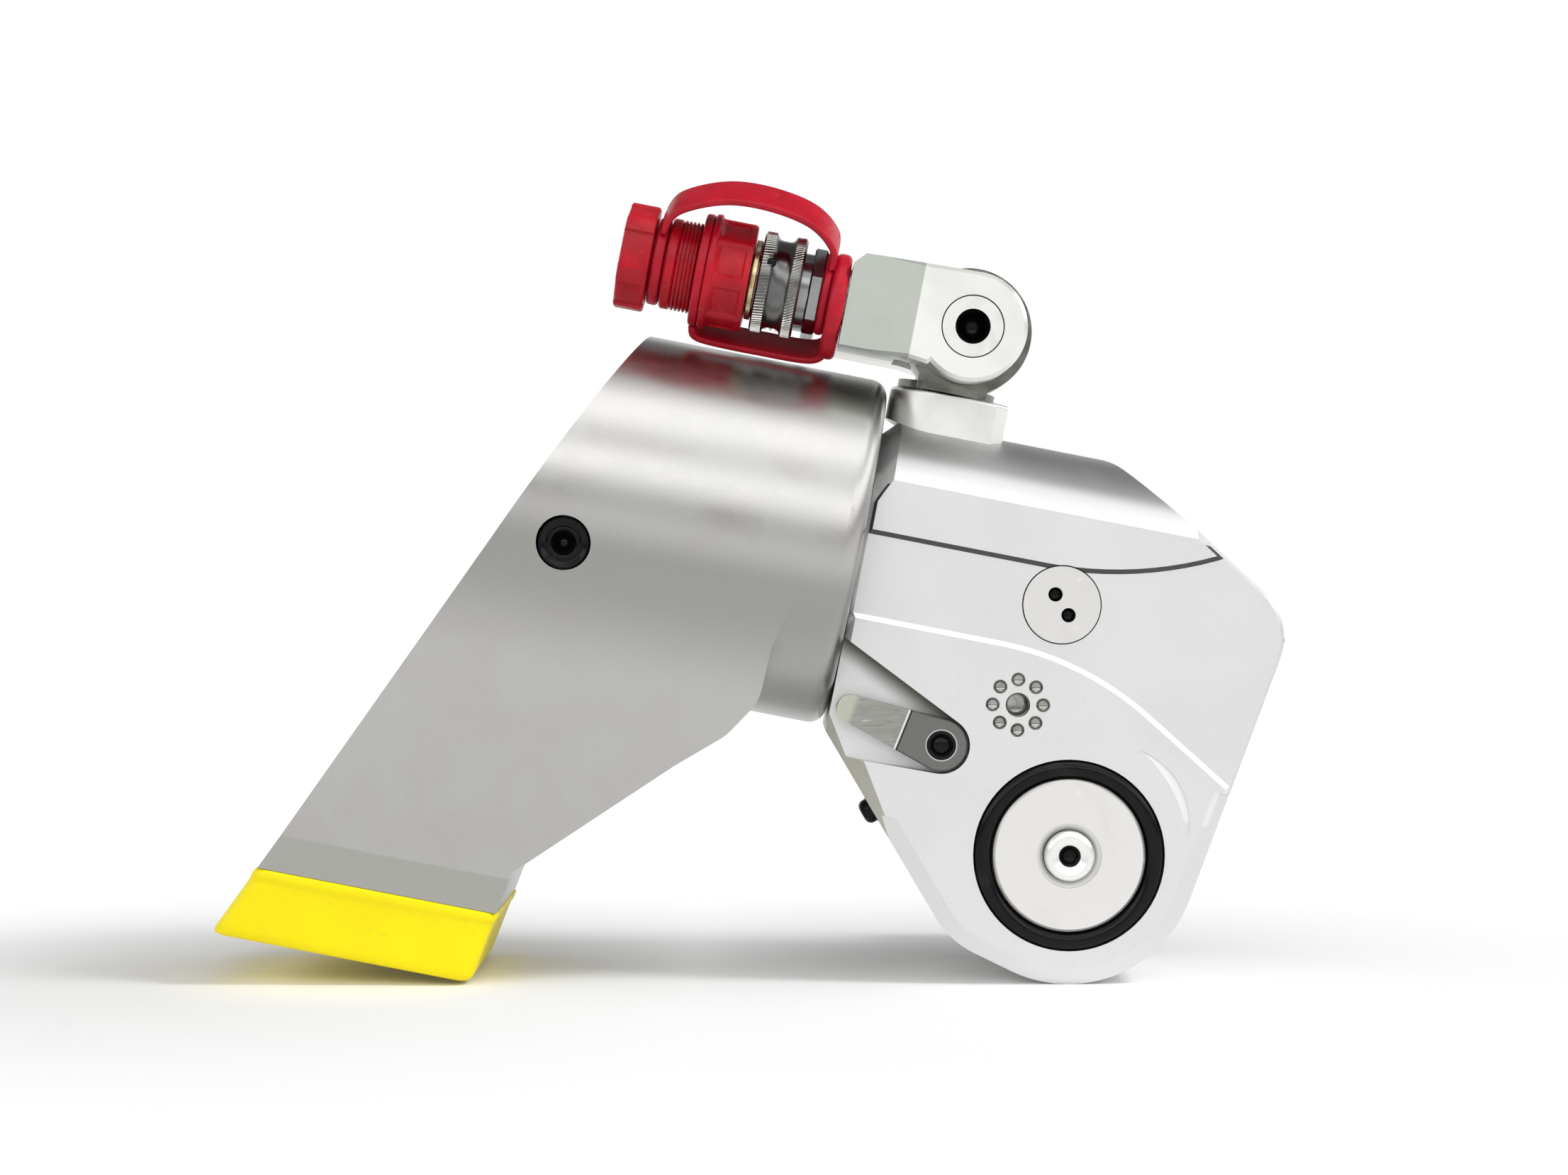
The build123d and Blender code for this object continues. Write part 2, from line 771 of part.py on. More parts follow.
def make_housing():
    outline = housing_outline()
    body = plate(outline, near_face, far_face) + y_bar(nose_radius, near_face, far_face)
    body = round_corner(body, outline[1], slope_corner_radius)
    body = round_corner(body, outline[2], front_corner_radius)
    body = round_corner(body, outline[5], flank_corner_radius)
    upper, nose = body, body
    for order in (0, -1):
        face = upper.faces().sort_by(Axis.Y)[order]
        upper = chamfer(face.outer_wire().edges(), rim_chamfer)
        face = nose.faces().sort_by(Axis.Y)[order]
        nose = chamfer(face.outer_wire().edges(), nose_bevel_width, nose_bevel_depth, reference=face)
    nose_region = plate(
        [
            (100, nose_bevel_front_w),
            (0, nose_bevel_front_w),
            (0, nose_bevel_flank_w),
            (-100, nose_bevel_flank_w),
            (-100, -100),
            (100, -100),
        ],
        near_face - 1,
        far_face + 1,
    )
    body = (upper - nose_region) + (nose & nose_region)
    low_half = block((-200, 200), (near_face - 1, far_face + 1), (-200, barrel_axis_w))
    round_top = u_bar(barrel_radius, housing_rear_u, 80)
    round_top = chamfer(round_top.edges().filter_by(GeomType.CIRCLE).sort_by(Axis.X)[0], rear_chamfer)
    body = body & (round_top + low_half)
    for side in (-1, 1):
        body -= flank_bevel(side)
        body -= face_band(side)
        body -= face_crescent(side)
    body += neck()
    body -= u_bar(bore_radius, neck_rear_u - 1, bore_front_u)
    body -= u_bar(rod_radius + rod_bushing_wall, bore_front_u - 1, cavity_left_u + 1)
    body -= cavity()
    # Front cover's rebate and its screw holes
    over = cover_thickness
    body -= on_front(front_cover_blank(loose_fit / 2, cover_thickness + over), drop=-over)
    for across, row in cover_screw_places():
        depth = cover_screw_length + 1
        hole = Pos(-cover_thickness - depth / 2, across, row) * Rot(0, 90, 0)
        body -= on_front(hole * Cylinder(cover_screw_radius, depth + 1))
    # Openings for the drive on both faces
    body -= y_bar(bushing_outer_radius, near_face - 1, far_face + 1)
    body -= y_bar(ring_groove_radius, near_face - 1, ring_floor_near)
    body -= y_bar(ring_groove_radius, ring_floor_far, far_face + 1)
    for side in (-1, 1):
        body -= handle_holes(side)
        body -= access_holes(side)
    body -= lever_pocket()
    # Shaft bore of the reaction pawl: through the near cheek, blind in the far cheek
    body -= y_bar(shaft_radius + running_fit, near_face, cavity_far + cheek_thickness - 3, *pawl_pivot)
    # Spring plug in the flank
    body -= flank_frame() * Pos(0, 0, -10) * Cylinder(flank_screw_radius + seat_gap, 30)
    # End cap screws
    for turn in range(cap_screw_count):
        y, w = cap_screw_place(turn)
        body -= u_bar(cap_screw_radius, neck_rear_u - 1, cap_rear_u + cap_screw_length, y, w)
    # Seat of the swivel base, its screw holes and the two oil ports
    screw_low = base_top_w - base_screw_head_height - base_screw_reach - 9
    for u, y in base_screw_places():
        body -= w_bar(base_screw_radius, screw_low, base_top_w, u, y)
    body -= w_bar(circlip_room_radius, barrel_top_w - 5, barrel_top_w + 1, post_axis_u)
    into_bore_w = barrel_axis_w + bore_radius - 1
    rear_port_u = post_axis_u + post_spindle_radius + 2 * port_radius
    rear_port_w = barrel_axis_w + (bore_radius + spline_root_radius) / 2
    body -= w_bar(port_radius, into_bore_w, barrel_top_w, bore_front_u - port_inset)
    body -= w_bar(port_radius, rear_port_w, barrel_top_w, rear_port_u)
    body -= u_bar(port_radius, neck_rear_u + port_inset, rear_port_u, middle_y, rear_port_w)
    body -= w_bar(port_radius, into_bore_w, rear_port_w, neck_rear_u + port_inset + port_radius)
    return body


def make_front_cover():
    cover = on_front(front_cover_blank(0, cover_thickness))
    for across, row in cover_screw_places():
        hole = Pos(-cover_thickness / 2, across, row) * Rot(0, 90, 0)
        hole = hole * Cylinder(cover_screw_radius + seat_gap, cover_thickness + 1)
        head = Pos(-cover_screw_head_height / 2, across, row) * Rot(0, 90, 0)
        head = head * Cylinder(cover_screw_head_radius + loose_fit, cover_screw_head_height + 0.01)
        cover -= on_front(hole)
        cover -= on_front(head)
    return cover


def make_front_cover_screws():
    screws = []
    for across, row in cover_screw_places():
        head = Pos(-cover_screw_head_height / 2, across, row) * Rot(0, 90, 0)
        head = head * Cylinder(cover_screw_head_radius, cover_screw_head_height)
        shank = Pos(-cover_screw_length / 2 - 1, across, row) * Rot(0, 90, 0)
        shank = shank * Cylinder(cover_screw_radius - seat_gap, cover_screw_length)
        socket = extrude(RegularPolygon(1.5, 6), amount=2)
        socket = Pos(-1.6, across, row) * Rot(0, 90, 0) * socket
        screws.append(on_front(head + shank - socket))
    return screws


def cap_screw_place(turn):
    """Centre (y, w) of one end cap screw."""
    angle = radians(turn * 360 / cap_screw_count + 30)
    return middle_y + cap_screw_circle * cos(angle), barrel_axis_w + cap_screw_circle * sin(angle)


def make_cylinder_end_cap():
    flange_rear = cap_rear_u
    cap = u_bar(cap_flange_radius, flange_rear, neck_rear_u)
    cap += u_bar(bore_radius - slide_fit, neck_rear_u, neck_rear_u + cap_spigot_length)
    cap += u_bar(stub_radius, flange_rear - stub_length, flange_rear)
    groove_start = flange_rear - stub_length + stub_end_flange
    groove_end = groove_start + stub_groove_length
    cap = chamfer(cap.edges().filter_by(GeomType.CIRCLE).sort_by(Axis.X)[0], stub_chamfer)
    cap -= ring_along(u_bar, stub_radius + 1, stub_groove_radius, groove_start, groove_end)
    seal_u = neck_rear_u + cap_spigot_length / 2
    cap -= ring_along(
        u_bar,
        bore_radius + 1,
        bore_radius - 2 * seal_section_radius - 0.1,
        seal_u - seal_section_radius - 0.2,
        seal_u + seal_section_radius + 0.2,
    )
    for turn in range(cap_screw_count):
        y, w = cap_screw_place(turn)
        head_end = flange_rear + cap_screw_head_height
        cap -= u_bar(cap_screw_radius + seat_gap, flange_rear - 1, neck_rear_u + 1, y, w)
        cap -= u_bar(cap_screw_head_radius + loose_fit, flange_rear - 1, head_end, y, w)
    return cap


def make_end_cap_screws():
    screws = []
    head_end = cap_rear_u + cap_screw_head_height
    shank_end = cap_rear_u + cap_screw_length
    for turn in range(cap_screw_count):
        y, w = cap_screw_place(turn)
        screw = u_bar(cap_screw_head_radius, cap_rear_u + 0.3, head_end, y, w)
        screw += u_bar(cap_screw_radius - seat_gap, cap_rear_u + 1, shank_end, y, w)
        socket = extrude(RegularPolygon(2.2, 6), amount=3)
        socket = Pos(cap_rear_u - 0.2, y, w) * Rot(0, 90, 0) * socket
        screws.append(screw - socket)
    return screws


def make_end_cap_seal():
    seal_u = neck_rear_u + cap_spigot_length / 2
    return u_torus(bore_radius - seal_section_radius - 0.03, seal_section_radius - 0.02, seal_u)


def make_rod_bushing():
    front = bore_front_u + rod_bushing_length
    outer = rod_radius + rod_bushing_wall - seat_gap
    return ring_along(u_bar, outer, rod_radius + running_fit, bore_front_u, front)


def make_rod_seal():
    front = bore_front_u + rod_bushing_length
    outer = rod_radius + rod_bushing_wall - seat_gap
    return ring_along(u_bar, outer, rod_radius + running_fit, front + seat_gap, cavity_left_u - 1)


# Piston and rod


def rod_front_u():
    """Front end of the rod's tongue at rest."""
    return pin_u + rod_pin_radius + slot_side_clearance + 5.0


def make_piston_rod():
    front = rod_front_u()
    tongue_start = front - tongue_length
    rest_rear = neck_rear_u + cap_spigot_length + piston_rest_gap
    rod = u_bar(rod_radius, rest_rear + piston_length, tongue_start + 4)
    rod += u_bar(rod_radius - 4, rest_rear + piston_nut_length, rest_rear + piston_length + 1)
    tongue = block(
        (tongue_start, front),
        (middle_y - tongue_width / 2, middle_y + tongue_width / 2),
        (pin_w - tongue_height / 2, pin_w + tongue_height / 2),
    )
    tongue = round_corner(tongue, (front, pin_w - tongue_height / 2), 8)
    tongue = round_corner(tongue, (front, pin_w + tongue_height / 2), 8)
    slot_radius = rod_pin_radius + slot_side_clearance
    lift = crank_radius - pin_w
    slot = link(
        (pin_u, pin_w - 0.3),
        slot_radius,
        (pin_u, pin_w + lift + 0.3),
        slot_radius,
        middle_y - tongue_width,
        middle_y + tongue_width,
    )
    return rod + tongue - slot


def make_piston():
    rear = neck_rear_u + cap_spigot_length + piston_rest_gap
    piston = u_bar(bore_radius - slide_fit, rear, rear + piston_length)
    piston -= u_bar(rod_radius - 4 + seat_gap, rear - 1, rear + piston_length + 1)
    piston -= u_bar(piston_nut_radius + loose_fit, rear - 1, rear + piston_nut_length)
    for seal_u in piston_seal_places():
        piston -= ring_along(
            u_bar,
            bore_radius + 1,
            bore_radius - 2 * seal_section_radius - 0.1,
            seal_u - seal_section_radius - 0.2,
            seal_u + seal_section_radius + 0.2,
        )
    return piston


def piston_seal_places():
    """Middles of the piston's two seal grooves."""
    rear = neck_rear_u + cap_spigot_length + piston_rest_gap
    return (rear + piston_length * 0.3, rear + piston_length * 0.7)


def make_piston_seals():
    radius = bore_radius - seal_section_radius - 0.06
    return [u_torus(radius, seal_section_radius - 0.02, seal_u) for seal_u in piston_seal_places()]


def make_piston_nut():
    rear = neck_rear_u + cap_spigot_length + piston_rest_gap
    hexagon = Pos(rear + 0.4, middle_y, barrel_axis_w) * Rot(0, 90, 0)
    nut = hexagon * extrude(RegularPolygon(piston_nut_radius, 6), amount=piston_nut_length - 0.4)
    nut += u_bar(rod_radius - 6, rear + 0.4, rear + piston_nut_length - seat_gap)
    return nut


# Drive plates


def make_drive_plate(limits):
    body = link((0, 0), plate_low_radius, (pin_u, pin_w), plate_high_radius, *limits)
    through = (limits[0] - 1, limits[1] + 1)
    pawl_pin = crank_point(*drive_pawl_pin_at)
    body -= y_bar(hub_radius + running_fit, *through)
    body -= y_bar(rod_pin_radius + seat_gap, *through, pin_u, pin_w)
    body -= y_bar(drive_pawl_pin_radius + seat_gap, *through, *pawl_pin)
    return body


def crank_point(radius, offset=0.0):
    """Point on the plates' centre line at a radius, moved sideways by an angle in degrees."""
    return polar((0, 0), radius, 90 + swing_half_angle - offset)


def make_rod_pin():
    return y_bar(rod_pin_radius, near_plate[0] + 0.5, far_plate[1] - 0.5, pin_u, pin_w)


def make_pawl_pin():
    where = crank_point(*drive_pawl_pin_at)
    return y_bar(drive_pawl_pin_radius, near_plate[0] + 0.5, far_plate[1] - 0.5, *where)


def make_spring_bridge():
    bar = Box(bridge_length, far_plate[0] - near_plate[1], bridge_height)
    u, w = crank_point(bridge_radius_at)
    return Pos(u, middle_y, w) * Rot(0, -swing_half_angle, 0) * bar


def make_drive_pawl():
    inner = drive_pawl_inner_radius
    half = drive_pawl_half_angle
    y_from, y_to = between_plates
    outer_points = [crank_point(drive_pawl_outer_radius, -half + step * half / 3) for step in range(7)]
    inner_points = []
    pitch = 360 / ratchet_teeth
    depth = ratchet_tip_radius - ratchet_root_radius
    for tooth in range(drive_pawl_teeth):
        start = half - 2 - tooth * pitch
        inner_points.append(crank_point(inner, start))
        inner_points.append(crank_point(inner + depth, start - 1.2))
        inner_points.append(crank_point(inner + 0.1, start - pitch + 1.0))
    inner_points.append(crank_point(inner + drive_pawl_relief, start - pitch))
    inner_points.append(crank_point(inner + drive_pawl_relief, -half))
    body = plate(outer_points + inner_points, y_from, y_to)
    where = crank_point(*drive_pawl_pin_at)
    return body - y_bar(drive_pawl_pin_radius + running_fit, y_from - 1, y_to + 1, *where)


def make_drive_pawl_springs():
    """Two springs between the bridge and the pawl."""
    springs = []
    low = drive_pawl_outer_radius + 0.1
    high = bridge_radius_at - bridge_height / 2 - 0.1
    for y in (middle_y - 6, middle_y + 6):
        wire = pawl_spring_wire / 2
        spring = coil(pawl_spring_radius - wire, wire, high - low, 3)
        u, w = crank_point(low)
        springs.append(Pos(u, y, w) * Rot(0, -swing_half_angle, 0) * spring)
    return springs


# Ratchet and square drive


def make_ratchet():
    y_from, y_to = between_plates
    pitch = 360 / ratchet_teeth
    points = []
    for tooth in range(ratchet_teeth):
        points.append(polar((0, 0), ratchet_tip_radius, tooth * pitch))
        points.append(polar((0, 0), ratchet_root_radius, tooth * pitch + 0.8))
        points.append(polar((0, 0), ratchet_tip_radius - 0.3, tooth * pitch + pitch - 1.5))
    wheel = plate(points, y_from + 0.3, y_to - 0.3)
    wheel += y_bar(hub_radius, hub_near_y(), hub_far_y())
    length = hub_far_y() - hub_near_y()
    broach_root = drive_spline_root + slide_fit
    broach_tip = drive_spline_tip + slide_fit
    broach = spline_teeth(drive_spline_count, broach_root, broach_tip, length + 2, 0.2)
    wheel -= Pos(0, hub_far_y() + 1, 0) * Rot(90, 0, 0) * broach
    sleeve_room = disc_back_y() + sleeve_length + 0.5
    wheel -= y_bar(sleeve_outer_radius + loose_fit, hub_near_y() - 1, sleeve_room)
    return wheel


def hub_near_y():
    return disc_back_y() + 0.3


def hub_far_y():
    return ring_floor_far - 0.2


def disc_front_y():
    return near_face - disc_proud


def disc_back_y():
    return disc_front_y() + disc_thickness


def make_square_drive():
    y_start = disc_back_y() + 0.2
    shoulder = hub_far_y() + 0.2
    neck_end = disc_back_y() + sleeve_length + 0.8
    shank_length = shoulder + 0.5 - neck_end
    shank = spline_teeth(drive_spline_count, drive_spline_root, drive_spline_tip, shank_length)
    drive = Pos(0, shoulder + 0.5, 0) * Rot(90, 0, 0) * shank
    drive += y_bar(sleeve_inner_radius - slide_fit, y_start, shoulder)
    drive += y_bar(hub_radius, shoulder, 0)
    square = Pos(0, square_length / 2, 0) * Box(square_side, square_length + 0.02, square_side)
    square = chamfer(square.edges().filter_by(Axis.Y), square_corner_chamfer)
    square = chamfer(square.faces().sort_by(Axis.Y)[-1].edges(), 1.2)
    drive += Rot(0, square_turn(), 0) * square
    hole = Pos(0, cross_hole_y, 0) * Cylinder(cross_hole_radius, square_side + 4)
    drive -= Rot(0, square_turn(), 0) * hole
    bore_end = disc_front_y() - button_proud + button_length + button_travel + 0.5
    drive -= y_bar(button_radius + 0.2, y_start - 1, bore_end)
    spring_end = bore_end + retainer_spring_length - button_travel
    drive -= y_bar(retainer_spring_radius + 0.8, bore_end - 1, spring_end)
    for turn in range(lock_ball_count):
        radial = Pos(0, lock_ball_y(), 0) * Rot(0, turn * 360 / lock_ball_count + 45, 0)
        drive -= radial * Pos(0, 0, lock_ball_circle) * Cylinder(lock_ball_radius + 0.1, 8)
    return drive


def square_turn():
    """The square stands upright in the world when the tool leans."""
    return -lean_angle


def lock_ball_y():
    return disc_back_y() + sleeve_length / 2


def make_retainer_disc():
    front, back = disc_front_y(), disc_back_y()
    disc = y_bar(disc_radius, front, back)
    rims = disc.edges().filter_by(GeomType.CIRCLE)
    disc = chamfer(rims.sort_by(Axis.Y)[0], disc_edge_chamfer)
    disc += y_bar(sleeve_outer_radius, back - 0.5, back + sleeve_length)
    disc -= y_bar(recess_radius, front - 1, front + recess_depth)
    disc -= y_bar(button_radius + 0.2, front - 1, back + 0.1)
    disc -= y_bar(sleeve_inner_radius, back, back + sleeve_length + 1)
    half = lock_ball_radius + 0.2
    groove_radius = lock_ball_circle + lock_ball_radius + 0.1
    return disc - y_bar(groove_radius, lock_ball_y() - half, lock_ball_y() + half)


def make_retainer_button():
    front = disc_front_y() - button_proud
    button = y_bar(button_radius, front, front + button_length)
    button = fillet(button.edges().filter_by(GeomType.CIRCLE).sort_by(Axis.Y)[0], 1.5)
    button -= y_bar(button_socket_radius, front - 1, front + button_socket_depth)
    groove_end = lock_ball_y() - 0.7
    waist = ring_along(y_bar, button_radius + 1, button_groove_radius, groove_end - 4.6, groove_end)
    return button - waist


def make_lock_balls():
    balls = []
    for turn in range(lock_ball_count):
        radial = Rot(0, turn * 360 / lock_ball_count + 45, 0) * Pos(0, 0, lock_ball_circle)
        balls.append(Pos(0, lock_ball_y(), 0) * radial * Sphere(lock_ball_radius))
    return balls


def make_retainer_spring():
    start = disc_front_y() - button_proud + button_length + 0.05
    wire = retainer_spring_wire / 2
    spring = coil(retainer_spring_radius - wire, wire, retainer_spring_length + 0.4, 4)
    return Pos(0, start, 0) * Rot(-90, 0, 0) * spring


def make_drive_bushings():
    outer = bushing_outer_radius - seat_gap
    inner = hub_radius + running_fit
    near = ring_along(y_bar, outer, inner, ring_floor_near + 0.1, cavity_near)
    far = ring_along(y_bar, outer, inner, cavity_far, ring_floor_far - 0.1)
    return [near, far]


def make_drive_seal_rings():
    near_y = near_face - ring_proud + ring_section_radius
    far_y = far_face + ring_proud - ring_section_radius
    return [y_torus(ring_centre_radius, ring_section_radius, y) for y in (near_y, far_y)]


# Reaction pawl and release lever


def make_reaction_pawl():
    y_from, y_to = between_plates
    body = link(pawl_pivot, pawl_boss_radius, pawl_head_at, pawl_head_radius, y_from, y_to)
    body -= y_bar(shaft_radius + seat_gap, y_from - 1, y_to + 1, *pawl_pivot)
    inner = drive_pawl_inner_radius
    depth = ratchet_tip_radius - ratchet_root_radius
    pitch = 360 / ratchet_teeth
    points = [(0, 0)]
    start = pawl_teeth_from
    while start < pawl_teeth_to:
        points.append(polar((0, 0), inner, start))
        points.append(polar((0, 0), inner + depth, start + 1.2))
        points.append(polar((0, 0), inner + 0.1, start + pitch - 1.0))
        start += pitch
    return body - plate(points, y_from - 1, y_to + 1)


def make_pawl_shaft():
    near_end = lever_faces()[0] + 1.6
    far_end = cavity_far + cheek_thickness - 3.5
    shaft = y_bar(shaft_radius, near_end, far_end, *pawl_pivot)
    tapped_end = near_end + lever_screw_length + 3
    return shaft - y_bar(lever_screw_shank, near_end - 1, tapped_end, *pawl_pivot)


def lever_faces():
    """Outer and inner face of the lever's boss."""
    inner = near_face + pocket_depth - lever_gap
    return inner - lever_thickness, inner


def make_release_lever():
    outer, inner = lever_faces()
    direction = 180 - lever_angle
    tip = polar(pawl_pivot, lever_length, direction)
    body = link(pawl_pivot, lever_boss_radius, tip, lever_tip_radius, outer, inner)
    pad_start = Pos(pawl_pivot[0], 0, pawl_pivot[1]) * Rot(0, lever_angle, 0)
    body = chamfer(body.faces().sort_by(Axis.Y)[0].outer_wire().edges(), lever_edge)
    scoop_u = -(lever_pad_start + lever_length) / 2
    scoop = Cylinder(lever_scoop_radius, 6 * lever_boss_radius)
    scoop = Pos(scoop_u, outer + lever_scoop_depth - lever_scoop_radius, 0) * scoop
    pad_room = block(
        (-2 * lever_length, -lever_pad_start),
        (outer - 5, inner),
        (-2 * lever_boss_radius, 2 * lever_boss_radius),
    )
    body -= pad_start * (scoop & pad_room)
    body -= y_bar(shaft_radius + seat_gap, outer + 1.4, inner + 1, *pawl_pivot)
    return body - y_bar(lever_screw_radius + seat_gap, outer - 1, outer + 2, *pawl_pivot)


def make_lever_screw():
    outer, inner = lever_faces()
    screw = y_bar(lever_screw_radius, outer - 0.4, outer + 1.35, *pawl_pivot)
    screw = fillet(screw.edges().filter_by(GeomType.CIRCLE).sort_by(Axis.Y)[0], 0.5)
    screw += y_bar(lever_screw_shank - seat_gap, outer + 1, outer + lever_screw_length, *pawl_pivot)
    return screw - y_bar(lever_screw_socket_radius, outer - 1, outer + 1, *pawl_pivot)


def make_pawl_spring_plug():
    plug = Cylinder(flank_screw_radius - seat_gap, flank_screw_length)
    plug = Pos(0, 0, -flank_screw_length / 2) * plug
    dome = Pos(0, 0, flank_screw_proud / 2) * Cylinder(flank_screw_head_radius, flank_screw_proud)
    dome = fillet(dome.edges().filter_by(GeomType.CIRCLE).sort_by(Axis.Z)[-1], 2.0)
    return flank_frame() * (plug + dome)


def make_pawl_spring():
    wire = reaction_spring_wire / 2
    spring = coil(reaction_spring_radius - wire, wire, reaction_spring_length, 3)
    start = -flank_screw_length - 0.1 - reaction_spring_length
    return flank_frame() * Pos(0, 0, start) * spring


# Access plugs


def make_access_plugs():
    plugs = []
    for side in (-1, 1):
        face = (near_face if side < 0 else far_face) - side * (band_depth - access_plug_proud)
        plug = y_bar(access_plug_radius, face, face - side * access_plug_length, pin_u, pin_w)
        for turn in (0, 180):
            where = polar((pin_u, pin_w), spanner_hole_offset, spanner_hole_angle + turn)
            plug -= y_bar(spanner_hole_radius, face + side, face - side * spanner_hole_depth, *where)
        plugs.append(plug)
    return plugs


# Swivel


def base_screw_places():
    """Centres (u, y) of the screws that hold the swivel base."""
    return [(u, middle_y + side * base_screw_half_spacing) for u in base_screw_u for side in (-1, 1)]


def make_swivel_base():
    low = barrel_axis_w
    body = block(
        (base_left_u, base_right_u),
        (middle_y - base_half_width, middle_y + base_half_width),
        (low, base_top_w),
    )
    upright = body.edges().filter_by(Axis.Z)
    body = fillet(upright.sort_by(Axis.X)[:2], base_round)
    body = chamfer(body.edges().filter_by(Axis.Z).sort_by(Axis.X)[-2:], base_corner)
    body = fillet(body.faces().sort_by(Axis.Z)[-1].outer_wire().edges(), base_rim)
    body -= u_bar(barrel_radius + seat_gap, base_left_u - 1, base_right_u + 1)
    body -= w_bar(post_spindle_radius + running_fit, low, base_top_w + 1, post_axis_u)
    body -= w_bar(circlip_room_radius, low, barrel_top_w + 2.2, post_axis_u)
    for u, y in base_screw_places():
        head_low = base_top_w - base_screw_head_height
        body -= w_bar(base_screw_radius + seat_gap, low, base_top_w + 1, u, y)
        body -= w_bar(base_screw_head_radius + 0.2, head_low, base_top_w + 1, u, y)
    return body


def make_swivel_base_screws():
    screws = []
    head_low = base_top_w - base_screw_head_height
    shank_low = head_low - base_screw_reach
    for u, y in base_screw_places():
        screw = w_bar(base_screw_head_radius, head_low, base_top_w - 0.4, u, y)
        screw += w_bar(base_screw_radius - seat_gap, shank_low, base_top_w - 1, u, y)
        socket = Pos(u, y, base_top_w - 2.2) * extrude(RegularPolygon(1.9, 6), amount=3)
        screws.append(screw - socket)
    return screws


def make_swivel_post():
    pin_axis_w = swivel_pin_axis[1]
    collar_low = base_top_w + collar_gap
    half = eye_width / 2
    between_cheeks = (middle_y - half, middle_y + half)
    body = w_bar(post_collar_radius, collar_low, collar_low + post_collar_height, post_axis_u)
    body += w_bar(post_spindle_radius, barrel_top_w - 2.4, collar_low + 1, post_axis_u)
    stem_u = (post_axis_u - 9, post_axis_u + 11)
    body += block(stem_u, between_cheeks, (collar_low + 0.5, pin_axis_w))
    body += y_bar(eye_radius, *between_cheeks, *swivel_pin_axis)
    body -= y_bar(pin_shank_radius + running_fit, middle_y - 40, middle_y + 40, *swivel_pin_axis)
    groove_top = barrel_top_w + 1.9
    groove_low = groove_top - circlip_thickness - 0.1
    groove_radius = post_spindle_radius - 1.5
    body -= ring_along(
        w_bar, post_spindle_radius + 1, groove_radius, groove_low, groove_top, post_axis_u
    )
    return body


def make_post_circlip():
    clip_top = barrel_top_w + 1.9 - 0.05
    return ring_along(
        w_bar,
        post_spindle_radius + 1.8,
        post_spindle_radius - 1.45,
        clip_top - circlip_thickness + 0.1,
        clip_top,
        post_axis_u,
    )


def make_swivel_block():
    axis_u, axis_w = swivel_pin_axis
    half = block_width / 2
    y_from, y_to = middle_y - half, middle_y + half
    outline = [
        (block_left_u, block_high_w),
        (axis_u, axis_w + block_round_radius),
        (axis_u, axis_w),
        (axis_u - 10.5, block_low_w - 0.8),
        (axis_u - 17, block_low_w),
        (block_left_u, block_low_w),
    ]
    body = plate(outline, y_from, y_to) + y_bar(block_round_radius, y_from, y_to, *swivel_pin_axis)
    body = chamfer(
        min(
            body.edges().filter_by(Axis.Y),
            key=lambda edge: hypot(edge.center().X - block_left_u, edge.center().Z - block_high_w),
        ),
        block_corner_chamfer,
    )
    for order in (0, -1):
        body = chamfer(body.faces().sort_by(Axis.Y)[order].outer_wire().edges(), block_rim_chamfer)
    for side in (-1, 1):
        face_y = middle_y + side * half
        corner_y = face_y - side * block_left_narrowing
        shade_u = axis_u - block_shade_at
        past = 10
        past_y = corner_y - side * block_left_narrowing * past / (shade_u - block_left_u)
        trim = [
            (shade_u, face_y, block_low_w - past),
            (block_left_u - past, past_y, block_low_w - past),
            (block_left_u - past, face_y + side * past, block_low_w - past),
            (shade_u, face_y + side * past, block_low_w - past),
        ]
        trim_height = block_high_w - block_low_w + 2 * past
        body -= extrude(make_face(Polyline(*trim, close=True)), amount=trim_height, dir=(0, 0, 1))
    slot = eye_width / 2 + eye_clearance
    slot_u = (axis_u - eye_radius - 1.2, axis_u + 30)
    slot_w = (block_low_w - 20, block_high_w + 20)
    body -= block(slot_u, (middle_y - slot, middle_y + slot), slot_w)
    body -= y_bar(pin_shank_radius + seat_gap, y_from - 1, y_to + 1, axis_u, axis_w)
    body -= y_bar(pin_counterbore_radius, y_from - 1, y_from + pin_head_thickness, axis_u, axis_w)
    body -= y_bar(pin_counterbore_radius, y_to - pin_head_thickness, y_to + 1, axis_u, axis_w)
    port_end = block_left_u + coupler_port_length
    for y in (near_coupler_y, far_coupler_y):
        body -= u_bar(coupler_port_radius, block_left_u - 1, port_end, y, coupler_axis_w)
    return body


def make_swivel_pin():
    axis_u, axis_w = swivel_pin_axis
    y_from = middle_y - block_width / 2
    y_to = middle_y + block_width / 2
    pin = y_bar(pin_head_radius, y_from + 0.1, y_from + pin_head_thickness, axis_u, axis_w)
    pin += y_bar(pin_shank_radius, y_from + 1, y_to - pin_head_thickness - 0.2, axis_u, axis_w)
    pin -= y_bar(pin_socket_radius, y_from - 1, y_from + pin_socket_depth, axis_u, axis_w)
    for y in swivel_seal_places():
        groove = (pin_shank_radius + 1, pin_shank_radius - 1.6, y - 0.9, y + 0.9)
        pin -= ring_along(y_bar, *groove, axis_u, axis_w)
    return pin - y_bar(pin_bore_radius, y_from, y_to - 10, axis_u, axis_w)


def make_swivel_pin_nut():
    axis_u, axis_w = swivel_pin_axis
    y_to = middle_y + block_width / 2
    nut = y_bar(pin_head_radius, y_to - pin_head_thickness, y_to - 0.1, axis_u, axis_w)
    socket = Pos(axis_u, y_to - 2, axis_w) * Rot(-90, 0, 0) * extrude(RegularPolygon(4.0, 6), amount=3)
    return nut - socket


